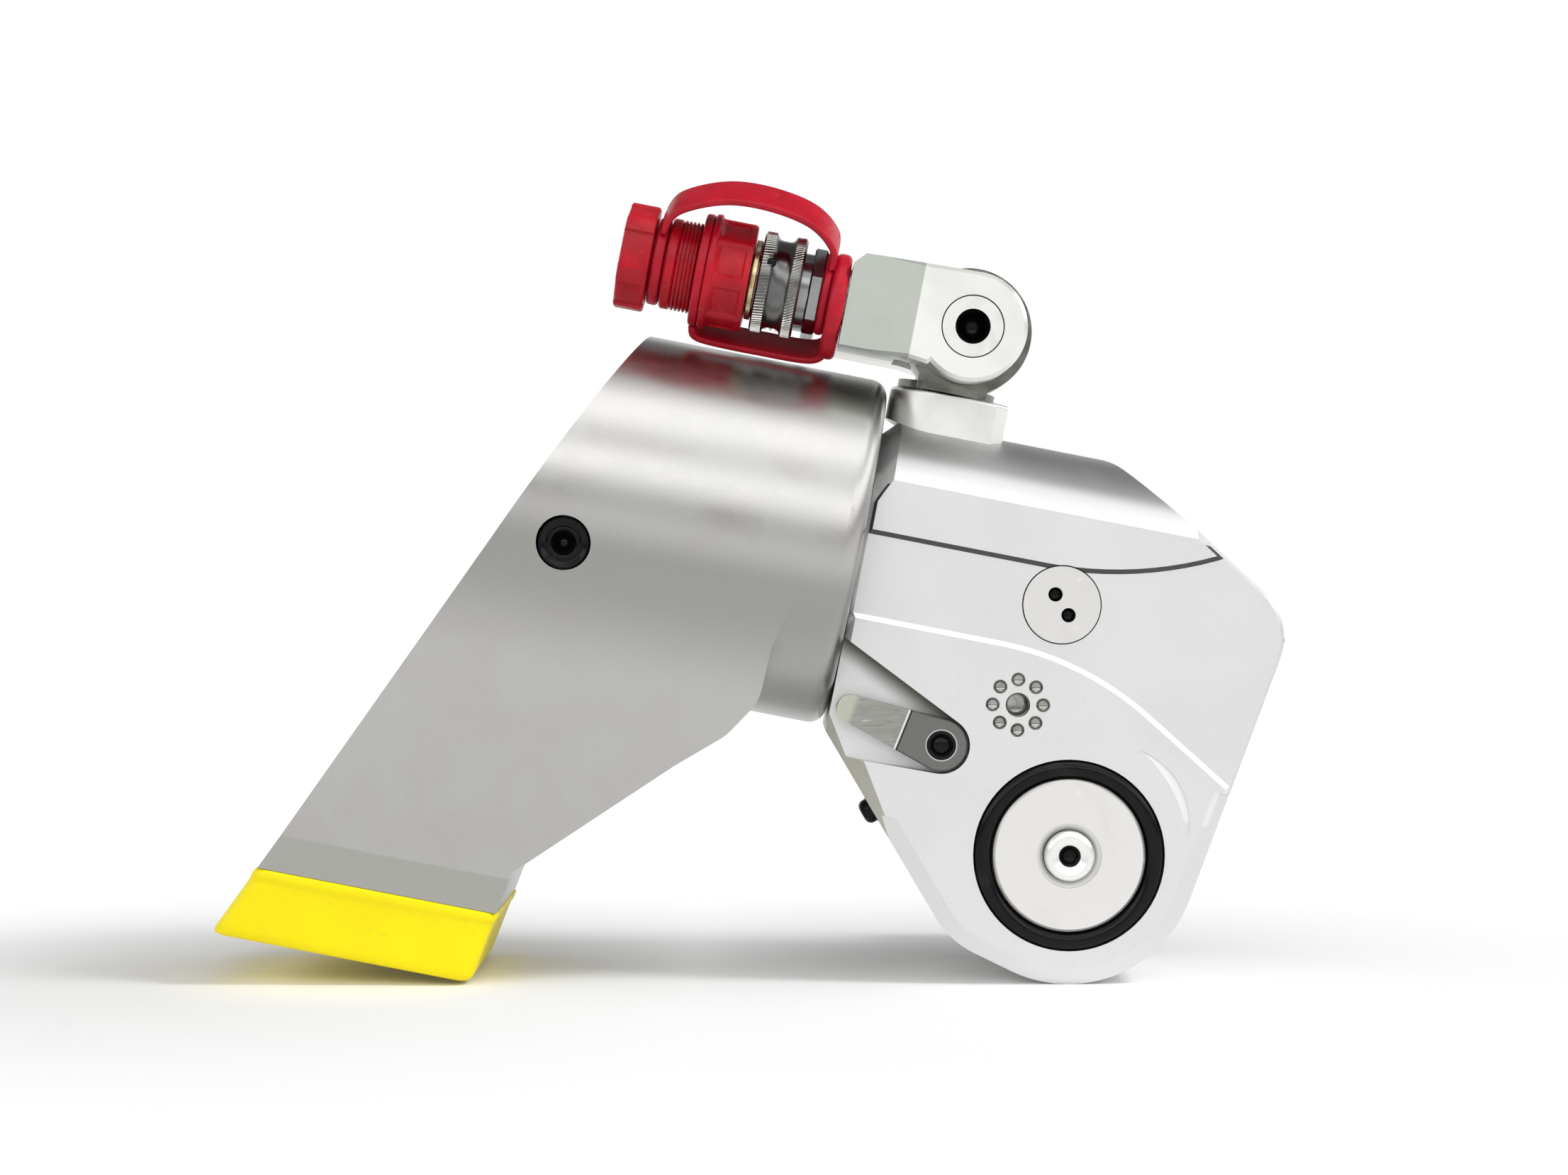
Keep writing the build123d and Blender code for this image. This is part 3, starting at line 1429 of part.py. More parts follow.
def swivel_seal_places():
    """Middles of the seals on the pin, inside the eye."""
    return (middle_y - eye_width / 2 + 3, middle_y, middle_y + eye_width / 2 - 3)


def make_swivel_seals():
    radius = pin_shank_radius - 0.8
    return [y_torus(radius + 0.02, 0.75, y, *swivel_pin_axis) for y in swivel_seal_places()]


# Couplers


def coupler_root(y, w):
    """Threaded end, neck and hexagon, which both couplers have."""
    port_end = block_left_u + coupler_port_length - 1
    root = u_bar(coupler_port_radius - seat_gap, block_left_u - 1, port_end, y, w)
    root += u_bar(coupler_neck_radius, hex_right_u - 1, block_left_u - seat_gap, y, w)
    outline = RegularPolygon(hex_across / 2, 6, major_radius=False)
    nut = extrude(Rot(0, 0, hex_turn) * outline, amount=hex_length)
    nut = Pos(hex_left_u, y, w) * Rot(0, 90, 0) * nut
    return root + chamfer(nut.edges().filter_by(Axis.X, reverse=True), 0.5)


def make_female_coupler():
    y, w = near_coupler_y, coupler_axis_w
    body = coupler_root(y, w)
    body += u_bar(coupler_core_radius, nose_left_u, hex_left_u + 1, y, w)
    body -= u_bar(coupler_mouth_radius, nose_left_u - 1, nose_left_u + coupler_mouth_depth, y, w)
    body -= u_bar(coupler_bore_radius, nose_left_u, block_left_u + coupler_port_length, y, w)
    spring_room = (sleeve_right_u - 6.6, sleeve_right_u - 1.0)
    return body - ring_along(u_bar, coupler_core_radius + 1, coupler_core_radius - 1.8, *spring_room, y, w)


def make_male_coupler():
    y, w = far_coupler_y, coupler_axis_w
    body = coupler_root(y, w)
    body += u_bar(male_body_radius - 1.2, male_left_u + 6, hex_left_u + 1, y, w)
    for rib in range(5):
        u = hex_left_u - 3 - rib * 1.8
        body += u_bar(male_body_radius, u - 0.9, u, y, w)
    body += u_bar(male_nose_radius, male_left_u, male_left_u + 7, y, w)
    bore_end = block_left_u + coupler_port_length
    return body - u_bar(coupler_bore_radius, male_left_u - 1, bore_end, y, w)


def make_coupler_sleeve():
    y, w = near_coupler_y, coupler_axis_w
    body = u_bar(waist_radius, sleeve_left_u, sleeve_right_u, y, w)
    bands = (
        (sleeve_left_u, sleeve_left_u + band_one_length),
        (sleeve_right_u - band_two_length, sleeve_right_u),
    )
    for left, right in bands:
        band = u_bar(knurl_radius, left, right, y, w)
        body += chamfer(band.edges().filter_by(GeomType.CIRCLE), 0.5)
    body -= u_bar(coupler_core_radius + slide_fit, sleeve_left_u - 1, sleeve_right_u + 1, y, w)
    hole_u = sleeve_left_u + band_one_length / 2
    hole = Pos(hole_u, y, w) * Rot(degrees(asin(sleeve_hole_height / knurl_radius)), 0, 0)
    return body - hole * Pos(0, -knurl_radius, 0) * Rot(90, 0, 0) * Cylinder(sleeve_hole_radius, 10)


def make_sleeve_spring():
    radius = coupler_core_radius - 0.9
    spring = coil(radius - 0.05, 0.7, 5.2, 3)
    return Pos(sleeve_right_u - 6.4, near_coupler_y, coupler_axis_w) * Rot(0, 90, 0) * spring


# Dust cap, dust plug and straps


def make_dust_cap():
    y, w = near_coupler_y, coupler_axis_w
    body = u_bar(dust_cap_radius, cap_left_u, cap_right_u, y, w)
    body += u_bar(dust_flange_radius, cap_left_u, cap_left_u + cap_flange_length, y, w)
    # The tapped mouth that takes the plug faces left, the closed floor faces the coupler
    body -= u_bar(thread_radius + slide_fit, cap_left_u - 1, cap_right_u - cap_floor, y, w)
    body += u_bar(cap_spigot_radius, cap_right_u - 1, cap_right_u + cap_spigot_depth, y, w)
    mid_u = (cap_left_u + cap_flange_length + cap_right_u) / 2
    for turn in range(cap_window_count):
        angle = turn * 360 / cap_window_count + 12
        window = Pos(mid_u, y, w) * Rot(angle, 0, 0) * Pos(0, 0, dust_cap_radius)
        body -= window * Box(cap_window_size * 0.9, cap_window_size, 2 * cap_window_depth)
    return body


def make_dust_plug():
    y, w = near_coupler_y, coupler_axis_w
    inner_end = cap_left_u + thread_depth_in_cap
    body = u_bar(thread_root_radius, thread_left_u, inner_end, y, w)
    rib_pitch = (cap_left_u - thread_left_u) / thread_rib_count
    for rib in range(thread_rib_count):
        u = thread_left_u + rib * rib_pitch
        body += u_bar(thread_radius, u, u + rib_pitch * 0.62, y, w)
    body += u_bar(thread_radius, cap_left_u + 1, cap_left_u + 4, y, w)
    body += u_bar(plug_neck_radius, knob_right_u - 1, thread_left_u + 1, y, w)
    knob = u_bar(knob_radius, knob_left_u, knob_right_u, y, w)
    for turn in range(knob_lug_count):
        angle = turn * 360 / knob_lug_count + 20
        lug = Box(knob_length, knob_lug_width, 4)
        lug = Pos((knob_left_u + knob_right_u) / 2, 0, knob_lug_radius - 2) * lug
        knob += Pos(0, y, w) * Rot(angle, 0, 0) * lug
    knob -= u_bar(knob_hollow_radius, knob_left_u - 1, knob_left_u + knob_hollow_depth, y, w)
    return body + knob


def strap_path(points, angle, below):
    """Band swept through (u, radius) points, in a plane turned about the coupler's axis."""
    turn = angle if not below else 180 - angle
    frame = Pos(0, near_coupler_y, coupler_axis_w) * Rot(turn, 0, 0)
    path = Spline(*[(u, 0, radius) for u, radius in points])
    section_plane = Plane(origin=path @ 0, z_dir=path % 0, x_dir=(0, 1, 0))
    band = sweep(section_plane * Rectangle(strap_width, strap_thickness), path=path)
    return frame * band


def make_high_strap():
    """Strap from its ring on the coupler's neck, over the coupler, to the ring on the plug's neck."""
    ring_mid = high_ring_left_u + tether_ring_section / 2
    plug_mid = (thread_left_u + knob_right_u) / 2
    points = [
        (ring_mid, tether_ring_radius - 2),
        (ring_mid - 4.5, tether_ring_radius + 6),
        ((ring_mid + plug_mid) / 2 + 9, high_strap_radius),
        ((ring_mid + plug_mid) / 2 - 9, high_strap_radius),
        (plug_mid + 3.5, tether_ring_radius + 4.5),
        (plug_mid, plug_neck_radius + 3),
    ]
    band = strap_path(points, high_strap_angle, False)
    ring = ring_along(
        u_bar,
        tether_ring_radius - 1,
        coupler_neck_radius + 0.4,
        high_ring_left_u,
        high_ring_left_u + tether_ring_section,
        near_coupler_y,
        coupler_axis_w,
    )
    plug_ring = ring_along(
        u_bar,
        plug_neck_radius + 3,
        plug_neck_radius + 0.3,
        plug_mid - plug_ring_width / 2,
        plug_mid + plug_ring_width / 2,
        near_coupler_y,
        coupler_axis_w,
    )
    return band + ring + plug_ring


def make_low_strap():
    """Strap from its ring on the coupler's neck, under the coupler, to the flange of the cap."""
    ring_mid = low_ring_left_u + tether_ring_section / 2
    cap_mid = cap_left_u - 1.4
    points = [
        (ring_mid, low_strap_radius - 5),
        (ring_mid - 5, low_strap_radius),
        ((ring_mid + cap_mid) / 2, low_strap_radius),
        (cap_mid + 5, low_strap_radius),
        (cap_mid + 1.2, low_strap_radius - 0.9),
        (cap_mid - 0.2, low_strap_radius - 4.4),
    ]
    band = strap_path(points, low_strap_angle, True)
    ring = ring_along(
        u_bar,
        tether_ring_radius,
        coupler_neck_radius + tether_ring_drop + 0.3,
        low_ring_left_u,
        low_ring_left_u + tether_ring_section,
        near_coupler_y,
        coupler_axis_w - tether_ring_drop,
    )
    cap_ring = ring_along(
        u_bar,
        dust_flange_radius - 0.6,
        thread_radius + 0.3,
        cap_mid - 1.3,
        cap_mid + 1.3,
        near_coupler_y,
        coupler_axis_w,
    )
    return band + ring + cap_ring


# Reaction arm


def arm_rear_u(w):
    """The arm's straight rear edge."""
    slope = (arm_rear_top_u - arm_rear_low_u) / (arm_top_w - arm_foot_w)
    return arm_rear_low_u + slope * (w - arm_foot_w)


def arm_outline():
    """Corners of the arm seen from the side."""
    return [
        (arm_rear_top_u, arm_top_w),
        (arm_collar_low_u + 8, arm_top_w),
        (arm_collar_low_u + 8, barrel_axis_w),
        (arm_collar_low_u, barrel_axis_w - arm_collar_low_drop),
        arm_shoulder_top,
        arm_shoulder,
        arm_knee,
        arm_heel,
        (arm_foot_right_u, arm_foot_w),
        (arm_rear_low_u, arm_foot_w),
    ]


def arm_side(side):
    """What is cut from the arm's side, which leans in and then bends in again above the boot."""
    outer = 2 * arm_outer_radius
    below = arm_foot_w - arm_outer_radius
    profile = [
        (arm_outer_radius, barrel_axis_w),
        (foot_half_width, foot_land_w),
        (foot_half_width, below),
        (outer, below),
        (outer, barrel_axis_w),
    ]
    points = [(0, middle_y + side * half, w) for half, w in profile]
    reach = -2 * arm_rear_low_u
    return extrude(make_face(Polyline(*points, close=True)), amount=reach, dir=(-1, 0, 0))


def make_reaction_arm():
    y_from = middle_y - arm_outer_radius
    y_to = middle_y + arm_outer_radius
    leg = plate(arm_outline(), y_from, y_to)
    leg = round_corner(leg, arm_shoulder_top, arm_shoulder_radius)
    leg = round_corner(leg, arm_shoulder, arm_knee_radius)
    reach = 2 * arm_rear_low_u
    low_half = block((reach, 0), (y_from - 1, y_to + 1), (reach, barrel_axis_w))
    leg = leg & (u_bar(arm_outer_radius, reach, 0) + low_half)
    for side in (-1, 1):
        leg -= arm_side(side)
    over_w = arm_top_w + 10
    rear = plate(
        [
            (arm_rear_u(over_w), over_w),
            (0, over_w),
            (0, 0),
            (arm_rear_u(0), 0),
        ],
        y_from - 1,
        y_to + 1,
    )
    collar = u_bar(arm_outer_radius, reach, arm_front_u) & rear
    front_rim = collar.edges().filter_by(GeomType.CIRCLE).sort_by(Axis.X)[-1]
    collar = fillet(front_rim, collar_front_round)
    arm = leg + collar
    length = arm_front_u - arm_bore_end_u
    broach_root = spline_root_radius + slide_fit
    broach_tip = spline_tip_radius + slide_fit
    broach = spline_teeth(spline_count, broach_root, broach_tip, length + 1, 0.3)
    arm -= Pos(arm_bore_end_u, middle_y, barrel_axis_w) * Rot(0, 90, 0) * broach
    stub_end = cap_rear_u - stub_length - stub_bore_clearance
    stub_bore = u_bar(stub_radius + stub_bore_clearance, stub_end, arm_bore_end_u + 1)
    arm -= chamfer(stub_bore.edges().filter_by(GeomType.CIRCLE).sort_by(Axis.X)[0], stub_chamfer)
    arm -= arm_lock_bore()
    arm -= boot_rebate()
    return arm


def lock_near_face():
    """Y of the arm's near side at the lock button."""
    u, w = lock_button_at
    return middle_y - arm_outer_radius + tan(radians(arm_taper)) * (barrel_axis_w - w)


def arm_lock_bore():
    """Stepped bore across the arm for the lock button, its spring and its stem."""
    face = lock_near_face()
    head_end = face + lock_button_recess + lock_button_length + lock_travel + 1
    spring_end = head_end + 8
    bore = y_bar(lock_button_radius + loose_fit, face - 5, head_end, *lock_button_at)
    bore += y_bar(lock_stem_radius + 2.2, head_end - 1, spring_end, *lock_button_at)
    stem_end = middle_y + lock_waist_half + lock_stem_end + lock_travel + 1
    return bore + y_bar(lock_stem_radius + slide_fit, spring_end - 1, stem_end, *lock_button_at)


def boot_rebate():
    """Step round the foot that the boot's wall sits in."""
    below = block((2 * arm_rear_low_u, 0), (near_face - 40, far_face + 40), (-200, boot_top_w))
    half = foot_half_width - boot_wall + boot_lip
    return below - plate(foot_core(0), middle_y - half, middle_y + half)


def foot_core(gap):
    """Outline of the foot inside the boot, with a gap all round."""
    inset = boot_wall - boot_lip - gap
    low = arm_foot_w - gap
    high = boot_top_w + boot_floor
    return [
        (arm_rear_u(high) + inset, high),
        (foot_right_u(high) - inset, high),
        (foot_right_u(low) - inset, low),
        (arm_rear_u(low) + inset, low),
    ]


def foot_right_u(w):
    """The foot's right edge."""
    slope = (arm_heel[0] - arm_foot_right_u) / (arm_heel[1] - arm_foot_w)
    return arm_foot_right_u + slope * (w - arm_foot_w)


def make_boot():
    half = foot_half_width + boot_lip
    low = arm_foot_w - boot_floor
    outline = [
        (arm_rear_u(boot_top_w) - boot_lip, boot_top_w - boot_gap),
        (foot_right_u(boot_top_w) + boot_lip, boot_top_w - boot_gap),
        (foot_right_u(low) + boot_lip, low),
        (arm_rear_u(low) - boot_lip, low),
    ]
    body = plate(outline, middle_y - half, middle_y + half)
    body = round_corner(body, outline[3], 3.0)
    body = round_corner(body, outline[2], 1.5)
    core_half = foot_half_width - boot_wall + boot_lip + boot_gap
    body -= plate(foot_core(boot_gap), middle_y - core_half, middle_y + core_half)
    return body


def make_arm_lock_button():
    u, w = lock_button_at
    face = lock_near_face() + lock_button_recess
    body = y_bar(lock_button_radius, face, face + lock_button_length, u, w)
    body = fillet(body.edges().filter_by(GeomType.CIRCLE).sort_by(Axis.Y)[0], 1.2)
    body -= ring_along(y_bar, lock_button_radius - 1.4, lock_raised_ring_radius, face - 1, face + 1.0, u, w)
    body -= y_bar(lock_socket_radius, face - 1, face + 3.5, u, w)
    stem_end = middle_y + lock_waist_half + lock_stem_end
    body += y_bar(lock_stem_radius, face + lock_button_length - 1, stem_end, u, w)
    waist_start = middle_y - lock_waist_half - lock_travel
    waist_end = middle_y + lock_waist_half
    waist_radius = barrel_axis_w - stub_radius - w - lock_waist_gap
    return body - ring_along(y_bar, lock_stem_radius + 1, waist_radius, waist_start, waist_end, u, w)


def make_arm_lock_spring():
    start = lock_near_face() + lock_button_recess + lock_button_length + 0.1
    length = lock_travel + 1 + 8 - 0.2
    spring = coil(lock_stem_radius + 1.15, lock_spring_wire / 2, length, 5)
    return Pos(lock_button_at[0], start, lock_button_at[1]) * Rot(-90, 0, 0) * spring


# Write each piece to its own file

pieces = {
    "housing": make_housing,
    "front_cover": make_front_cover,
    "front_cover_screws": make_front_cover_screws,
    "cylinder_end_cap": make_cylinder_end_cap,
    "end_cap_screws": make_end_cap_screws,
    "end_cap_seal": make_end_cap_seal,
    "rod_bushing": make_rod_bushing,
    "rod_seal": make_rod_seal,
    "piston_rod": make_piston_rod,
    "piston": make_piston,
    "piston_seals": make_piston_seals,
    "piston_nut": make_piston_nut,
    "drive_plate_near": lambda: make_drive_plate(near_plate),
    "drive_plate_far": lambda: make_drive_plate(far_plate),
    "rod_pin": make_rod_pin,
    "drive_pawl_pin": make_pawl_pin,
    "spring_bridge": make_spring_bridge,
    "drive_pawl": make_drive_pawl,
    "drive_pawl_springs": make_drive_pawl_springs,
    "ratchet": make_ratchet,
    "square_drive": make_square_drive,
    "retainer_disc": make_retainer_disc,
    "retainer_button": make_retainer_button,
    "retainer_balls": make_lock_balls,
    "retainer_spring": make_retainer_spring,
    "drive_bushings": make_drive_bushings,
    "drive_seal_rings": make_drive_seal_rings,
    "reaction_pawl": make_reaction_pawl,
    "pawl_shaft": make_pawl_shaft,
    "release_lever": make_release_lever,
    "lever_screw": make_lever_screw,
    "pawl_spring_plug": make_pawl_spring_plug,
    "pawl_spring": make_pawl_spring,
    "access_plugs": make_access_plugs,
    "swivel_base": make_swivel_base,
    "swivel_base_screws": make_swivel_base_screws,
    "swivel_post": make_swivel_post,
    "post_circlip": make_post_circlip,
    "swivel_block": make_swivel_block,
    "swivel_pin": make_swivel_pin,
    "swivel_pin_nut": make_swivel_pin_nut,
    "swivel_seals": make_swivel_seals,
    "female_coupler": make_female_coupler,
    "male_coupler": make_male_coupler,
    "coupler_sleeve": make_coupler_sleeve,
    "sleeve_spring": make_sleeve_spring,
    "dust_cap": make_dust_cap,
    "dust_plug": make_dust_plug,
    "plug_strap": make_high_strap,
    "cap_strap": make_low_strap,
    "reaction_arm": make_reaction_arm,
    "reaction_boot": make_boot,
    "arm_lock_button": make_arm_lock_button,
    "arm_lock_spring": make_arm_lock_spring,
}

os.makedirs("parts", exist_ok=True)
for name, make in pieces.items():
    piece = make()
    solids = piece if isinstance(piece, list) else [piece]
    placed = [place(solid) for solid in solids]
    export_step(Compound(children=placed) if len(placed) > 1 else placed[0], f"parts/{name}.step")
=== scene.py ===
"""Finishes, soft pieces, light and camera for a hydraulic torque wrench standing on its boot and nose."""

from math import cos, pi, radians, sin

import bmesh
import bpy
from mathutils import Matrix, Vector, noise


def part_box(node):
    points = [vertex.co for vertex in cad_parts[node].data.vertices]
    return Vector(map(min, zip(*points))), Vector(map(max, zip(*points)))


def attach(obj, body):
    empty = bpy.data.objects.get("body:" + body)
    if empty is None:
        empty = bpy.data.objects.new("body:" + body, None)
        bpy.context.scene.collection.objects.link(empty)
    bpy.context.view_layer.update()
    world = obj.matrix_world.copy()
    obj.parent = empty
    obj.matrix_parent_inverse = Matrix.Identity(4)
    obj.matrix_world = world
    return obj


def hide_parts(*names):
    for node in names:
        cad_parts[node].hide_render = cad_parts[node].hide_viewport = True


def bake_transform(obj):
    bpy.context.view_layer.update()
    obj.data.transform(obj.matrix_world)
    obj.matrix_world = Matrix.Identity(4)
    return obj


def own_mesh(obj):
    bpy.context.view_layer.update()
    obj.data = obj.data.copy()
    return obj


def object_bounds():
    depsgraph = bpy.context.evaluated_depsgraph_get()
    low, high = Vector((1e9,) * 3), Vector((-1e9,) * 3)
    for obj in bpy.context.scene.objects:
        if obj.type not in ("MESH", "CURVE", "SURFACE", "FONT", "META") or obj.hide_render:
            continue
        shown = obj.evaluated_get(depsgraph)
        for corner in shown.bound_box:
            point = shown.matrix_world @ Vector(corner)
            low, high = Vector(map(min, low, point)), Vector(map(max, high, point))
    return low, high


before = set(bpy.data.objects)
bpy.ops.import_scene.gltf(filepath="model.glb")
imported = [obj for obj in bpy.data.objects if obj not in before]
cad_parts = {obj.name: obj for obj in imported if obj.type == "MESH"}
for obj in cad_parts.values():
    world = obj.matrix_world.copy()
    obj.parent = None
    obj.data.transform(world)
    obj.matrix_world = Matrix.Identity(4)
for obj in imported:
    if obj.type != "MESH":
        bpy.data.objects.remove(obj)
cad_low, cad_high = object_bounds()

# Places and sizes of the tool, drawn level in millimetres, before it leans
LEAN = radians(11.0)
MIDDLE_Y = -38.5
NEAR_FACE = -72.0
FAR_FACE = -5.0
FACES = (("near", NEAR_FACE, 1), ("far", FAR_FACE, -1))
COUPLER_Y = -55.0
COUPLER_W = 141.2
COUPLER_MIDDLE = (0.0, COUPLER_Y, COUPLER_W)
LEVER_PIVOT = (-40.5, 23.2)
LEVER_ANGLE = 10.9

# Painted shade, painted highlights and finish changes; a band rises from its first value to its second and
# falls from its third to its last
BAND_EDGE = (0.02, 0.08, 0.85, 0.90)
BAND_TOP = (75.0, 76.0, 91.4, 91.9)
BAND_FOOT = (14.0, 16.0, 61.0, 62.0)
BAND_FOOT_END = (43.5, 42.5)
POCKET_WALL = (0.4368, 0.8996, 0.0)
POCKET_WALL_REACH = 11.083
POCKET_CORNER = (-6.5, 0.2, 1.0, 2.0)
POCKET_DEPTH = (5.0, 6.6)
POCKET_END = (-31.0, -33.0)
BARREL_DEPTH = (4.0, 8.0)
BARREL_TOP = (80.0, 92.0)
BLOCK_SHADE = (-69.85, -70.15)
ARM_SHOULDER = (22.0, 52.0, 58.0, 69.0)
ARM_LAND = (-35.6, -36.4)
PAD_START = (11.3, 11.6)
PAD_STEP_HIGHLIGHT = (*PAD_START, 11.8, 11.95)
PAD_SHADE_LINE = (10.8, 11.1, 11.35, 11.45)
PAD_TIP = (25.2, 27.2)
SCREW_RIM_HIGHLIGHT = (0.00448, 0.00438)
DISC_RECESS_SHADE = (0.0088, 0.0070)

# Boot on the arm's foot: each slanted end has its place at the foot and its lean
BOOT_SOLE_W = -66.5
BOOT_TOP_W = -46.1
BOOT_FOOT_W = -61.5
BOOT_REAR = (-227.0, 0.46304)
BOOT_FRONT = (-155.6, 0.18545)
BOOT_SKIN = 0.7
BOOT_HALF = 34.69
BOOT_WALL = 2.4
BOOT_WAVE = (14.0, 9.0, 0.22)
BOOT_CORNER_STEPS = 7
BOOT_SIDE_STEPS = 9

# Seal rings round the drive
SEAL_RADIUS = 23.95
SEAL_SECTION = 2.6
SEAL_PROUD = 1.0
SEAL_STEPS = 24

# Springs: name, node, start, end, radius, wire, turns, body, joint and the share of length kept
BRIDGE = (-10.46, 46.8)
PAWL_HEEL = (-9.18, 41.08)
SPRINGS = (
    *(
        (name, "drive_pawl_springs", (BRIDGE[0], y, BRIDGE[1]), (PAWL_HEEL[0], y, PAWL_HEEL[1]))
        + (2.5, 0.5, 3, "drive_plates", "driving_pawl_lift", 0.6)
        for name, y in (("pawl_spring_one", MIDDLE_Y - 6), ("pawl_spring_two", MIDDLE_Y + 6))
    ),
    ("retainer_coil", "retainer_spring", (0.0, -51.05, 0.0), (0.0, -61.45, 0.0))
    + (4.1, 0.5, 4, "drive_shaft", "retainer_push_in", 0.7),
    ("lever_coil", "pawl_spring", (-50.3, MIDDLE_Y, 3.6), (-45.75, MIDDLE_Y, 7.64))
    + (2.15, 0.4, 3, "housing_body", "release_lever_lift", 0.25),
    ("sleeve_coil", "sleeve_spring", (-104.4, COUPLER_Y, COUPLER_W), (-109.6, COUPLER_Y, COUPLER_W))
    + (9.25, 0.7, 3, "coupler_block", "sleeve_pull", 0.62),
    ("lock_coil", "arm_lock_spring", (-153.0, -65.0, 58.5), (-153.0, -78.8, 58.5))
    + (4.35, 0.5, 5, "arm", "arm_lock_push", 0.63),
)

# Sleeve of the near coupler, and the brass seat beside it
SLEEVE_LEFT = -115.4
SLEEVE_RIGHT = -103.2
SLEEVE_EDGE = 0.55
BAND_ONE = 3.8
BAND_TWO = 3.7
KNURL_RADIUS = 14.0
KNURLS = (
    ("left_knurl", SLEEVE_LEFT + BAND_ONE / 2, BAND_ONE - 1.0, 8.0),
    ("right_knurl", SLEEVE_RIGHT - BAND_TWO / 2, BAND_TWO - 0.8, 32.0),
)
SLEEVE_HOLE = (-112.2, 4.6, 1.3)
WAIST_RADIUS = 12.4
SLEEVE_BORE = 10.3
RIDGE_COUNT = 96
RIDGE_HEIGHT = 0.3
BRASS_SEAT = (-116.5, 1.7, 10.0, 11.3, 0.3)

# Straps along (u, radius) points, and their rings: place, width, inner, outer and corner radius
STRAP_WIDTH = 12.4
STRAP_THICKNESS = 2.0
STRAP_EDGE = 0.75
HIGH_STRAP_TURN = 33.0
HIGH_STRAP = (
    (-95.4, 10.8), (-96.4, 17.2), (-103.6, 23.2), (-116.0, 25.8),
    (-128.5, 24.9), (-140.3, 19.2), (-143.55, 12.0),
)
HIGH_RING = (-95.9, 2.6, 8.7, 11.7, 1.0)
PLUG_RING = (-143.55, 3.2, 9.3, 12.3, 0.9)
LOW_STRAP_TURN = 212.0
LOW_STRAP = ((-92.2, 14.4), (-96.4, 18.8), (-111.6, 19.4), (-125.3, 19.2), (-130.2, 18.2), (-131.3, 15.4))
LOW_RING = (-92.4, 4.6, 11.4, 15.0, 1.7)
LOW_RING_DROP = 3.0
CAP_RING = (-131.3, 2.6, 13.0, 15.9, 0.8)

# Dust cap and dust plug
CAP_RIGHT = -117.7
CAP_LEFT = -129.9
CAP_RADIUS = 15.4
CAP_RIM_RADIUS = 16.3
CAP_MOUTH = 11.85
CAP_PANELS = 8
CAP_FLAT = 0.55
PANEL_DEPTH = 0.55
KNOB_RIGHT = -145.6
KNOB_LEFT = -154.1
KNOB_RADIUS = 14.1
KNOB_LUG_RADIUS = 14.9
KNOB_LUGS = 6
LUG_SHARE = 0.34
THREAD_RADIUS = 12.8
THREAD_START = -133.0
THREAD_LEFT = -141.5
THREAD_PITCH = 1.1

# Round details of the faces: centre (u, w), then sizes
ACCESS_PLUG = (-15.16, 67.83, 10.7)
ACCESS_PIN_HOLES = ((-12.84, 65.34), (-17.48, 70.32))
HANDLE_HOLE = (-21.9, 38.3)
LOCK_BUTTON = (-153.0, 58.5)
LOCK_WAIST = (-50.0, -32.0, 1.7)
LOCK_STEM = 3.2
DIMPLE_CIRCLE = 7.0
DIMPLE_TURN = 100.0
SWIVEL_PIN = (-54.0, 139.0, 8.65)
BALL_GROOVE = (4.6, 0.7, 5.6)

# Studio, in metres
NOSE_FOOT = (-0.005, -0.06, -0.036)
BOOT_FOOT = (-0.205, -0.06, -0.036)
FLOOR_SIZE = 6.0
FLOOR_FADE = (0.03, 0.26)
FLOOR_LIFT = 0.03
FLOOR_PAPER = 0.86
WALL_RADIUS = 2.4
WALL_REACH = 115.0
WALL_TOP = 1.9
WALL_STEPS = 40
WALL_LIGHT = ((0.1, 0.9), (0.32, 0.42), (0.6, 0.42), (0.85, 1.9), (1.45, 2.3), (1.9, 1.3))
BOARD = (-1.6, 1.4, 0.0, 2.0, 1.25)
BOARD_LIGHT = 0.2
OVERHEAD_AT = (0.12, -0.50, 1.15)
OVERHEAD_SIZE = (1.2, 0.5)
OVERHEAD_LIGHT = 1.1
KEY_AT = (0.85, -0.35, 1.0)
KEY_SIZE = (0.3, 0.3)
KEY_LIGHT = 34.0
LIGHTS_AIM = (-0.07, -0.04, 0.07)
SKY_FILL = 0.3

# Camera, in metres
CAMERA_AT = (-0.084, -0.922, 0.082)
CAMERA_LENS = 70.55
CAMERA_YAW = 0.34
CAMERA_PITCH = -0.52

BLACK = (0.0, 0.0, 0.0, 1.0)
WHITE = (1.0, 1.0, 1.0, 1.0)


def at(u, y, w):
    """A point drawn level in millimetres, as the tool leans, in metres."""
    x = u * cos(LEAN) + w * sin(LEAN)
    z = w * cos(LEAN) - u * sin(LEAN)
    return Vector((x, y, z)) / 1000


# Nodes, for shaders and for geometry


def feed(tree, socket, given):
    """Link a socket to another one, or give it a plain value."""
    if isinstance(given, bpy.types.NodeSocket):
        tree.links.new(given, socket)
    else:
        socket.default_value = given


def shade(tree, kind, settings=None, **inputs):
    """Add a node with its settings and inputs, which are plain values or the sockets that feed them."""
    made = tree.nodes.new(kind)
    for name, setting in (settings or {}).items():
        setattr(made, name, setting)
    for name, given in inputs.items():
        feed(tree, made.inputs[name.replace("_", " ")], given)
    return made


def step(tree, kind, first=None, settings=None, **inputs):
    """First output of a new node, whose first input may be given by place."""
    made = shade(tree, kind, settings, **inputs)
    if first is not None:
        feed(tree, made.inputs[0], first)
    return made.outputs[0]


def maths(tree, operation, *values):
    made = shade(tree, "ShaderNodeMath", {"operation": operation})
    for socket, given in zip(made.inputs, (*values, 0.0, 0.0)):
        feed(tree, socket, given)
    return made.outputs["Value"]


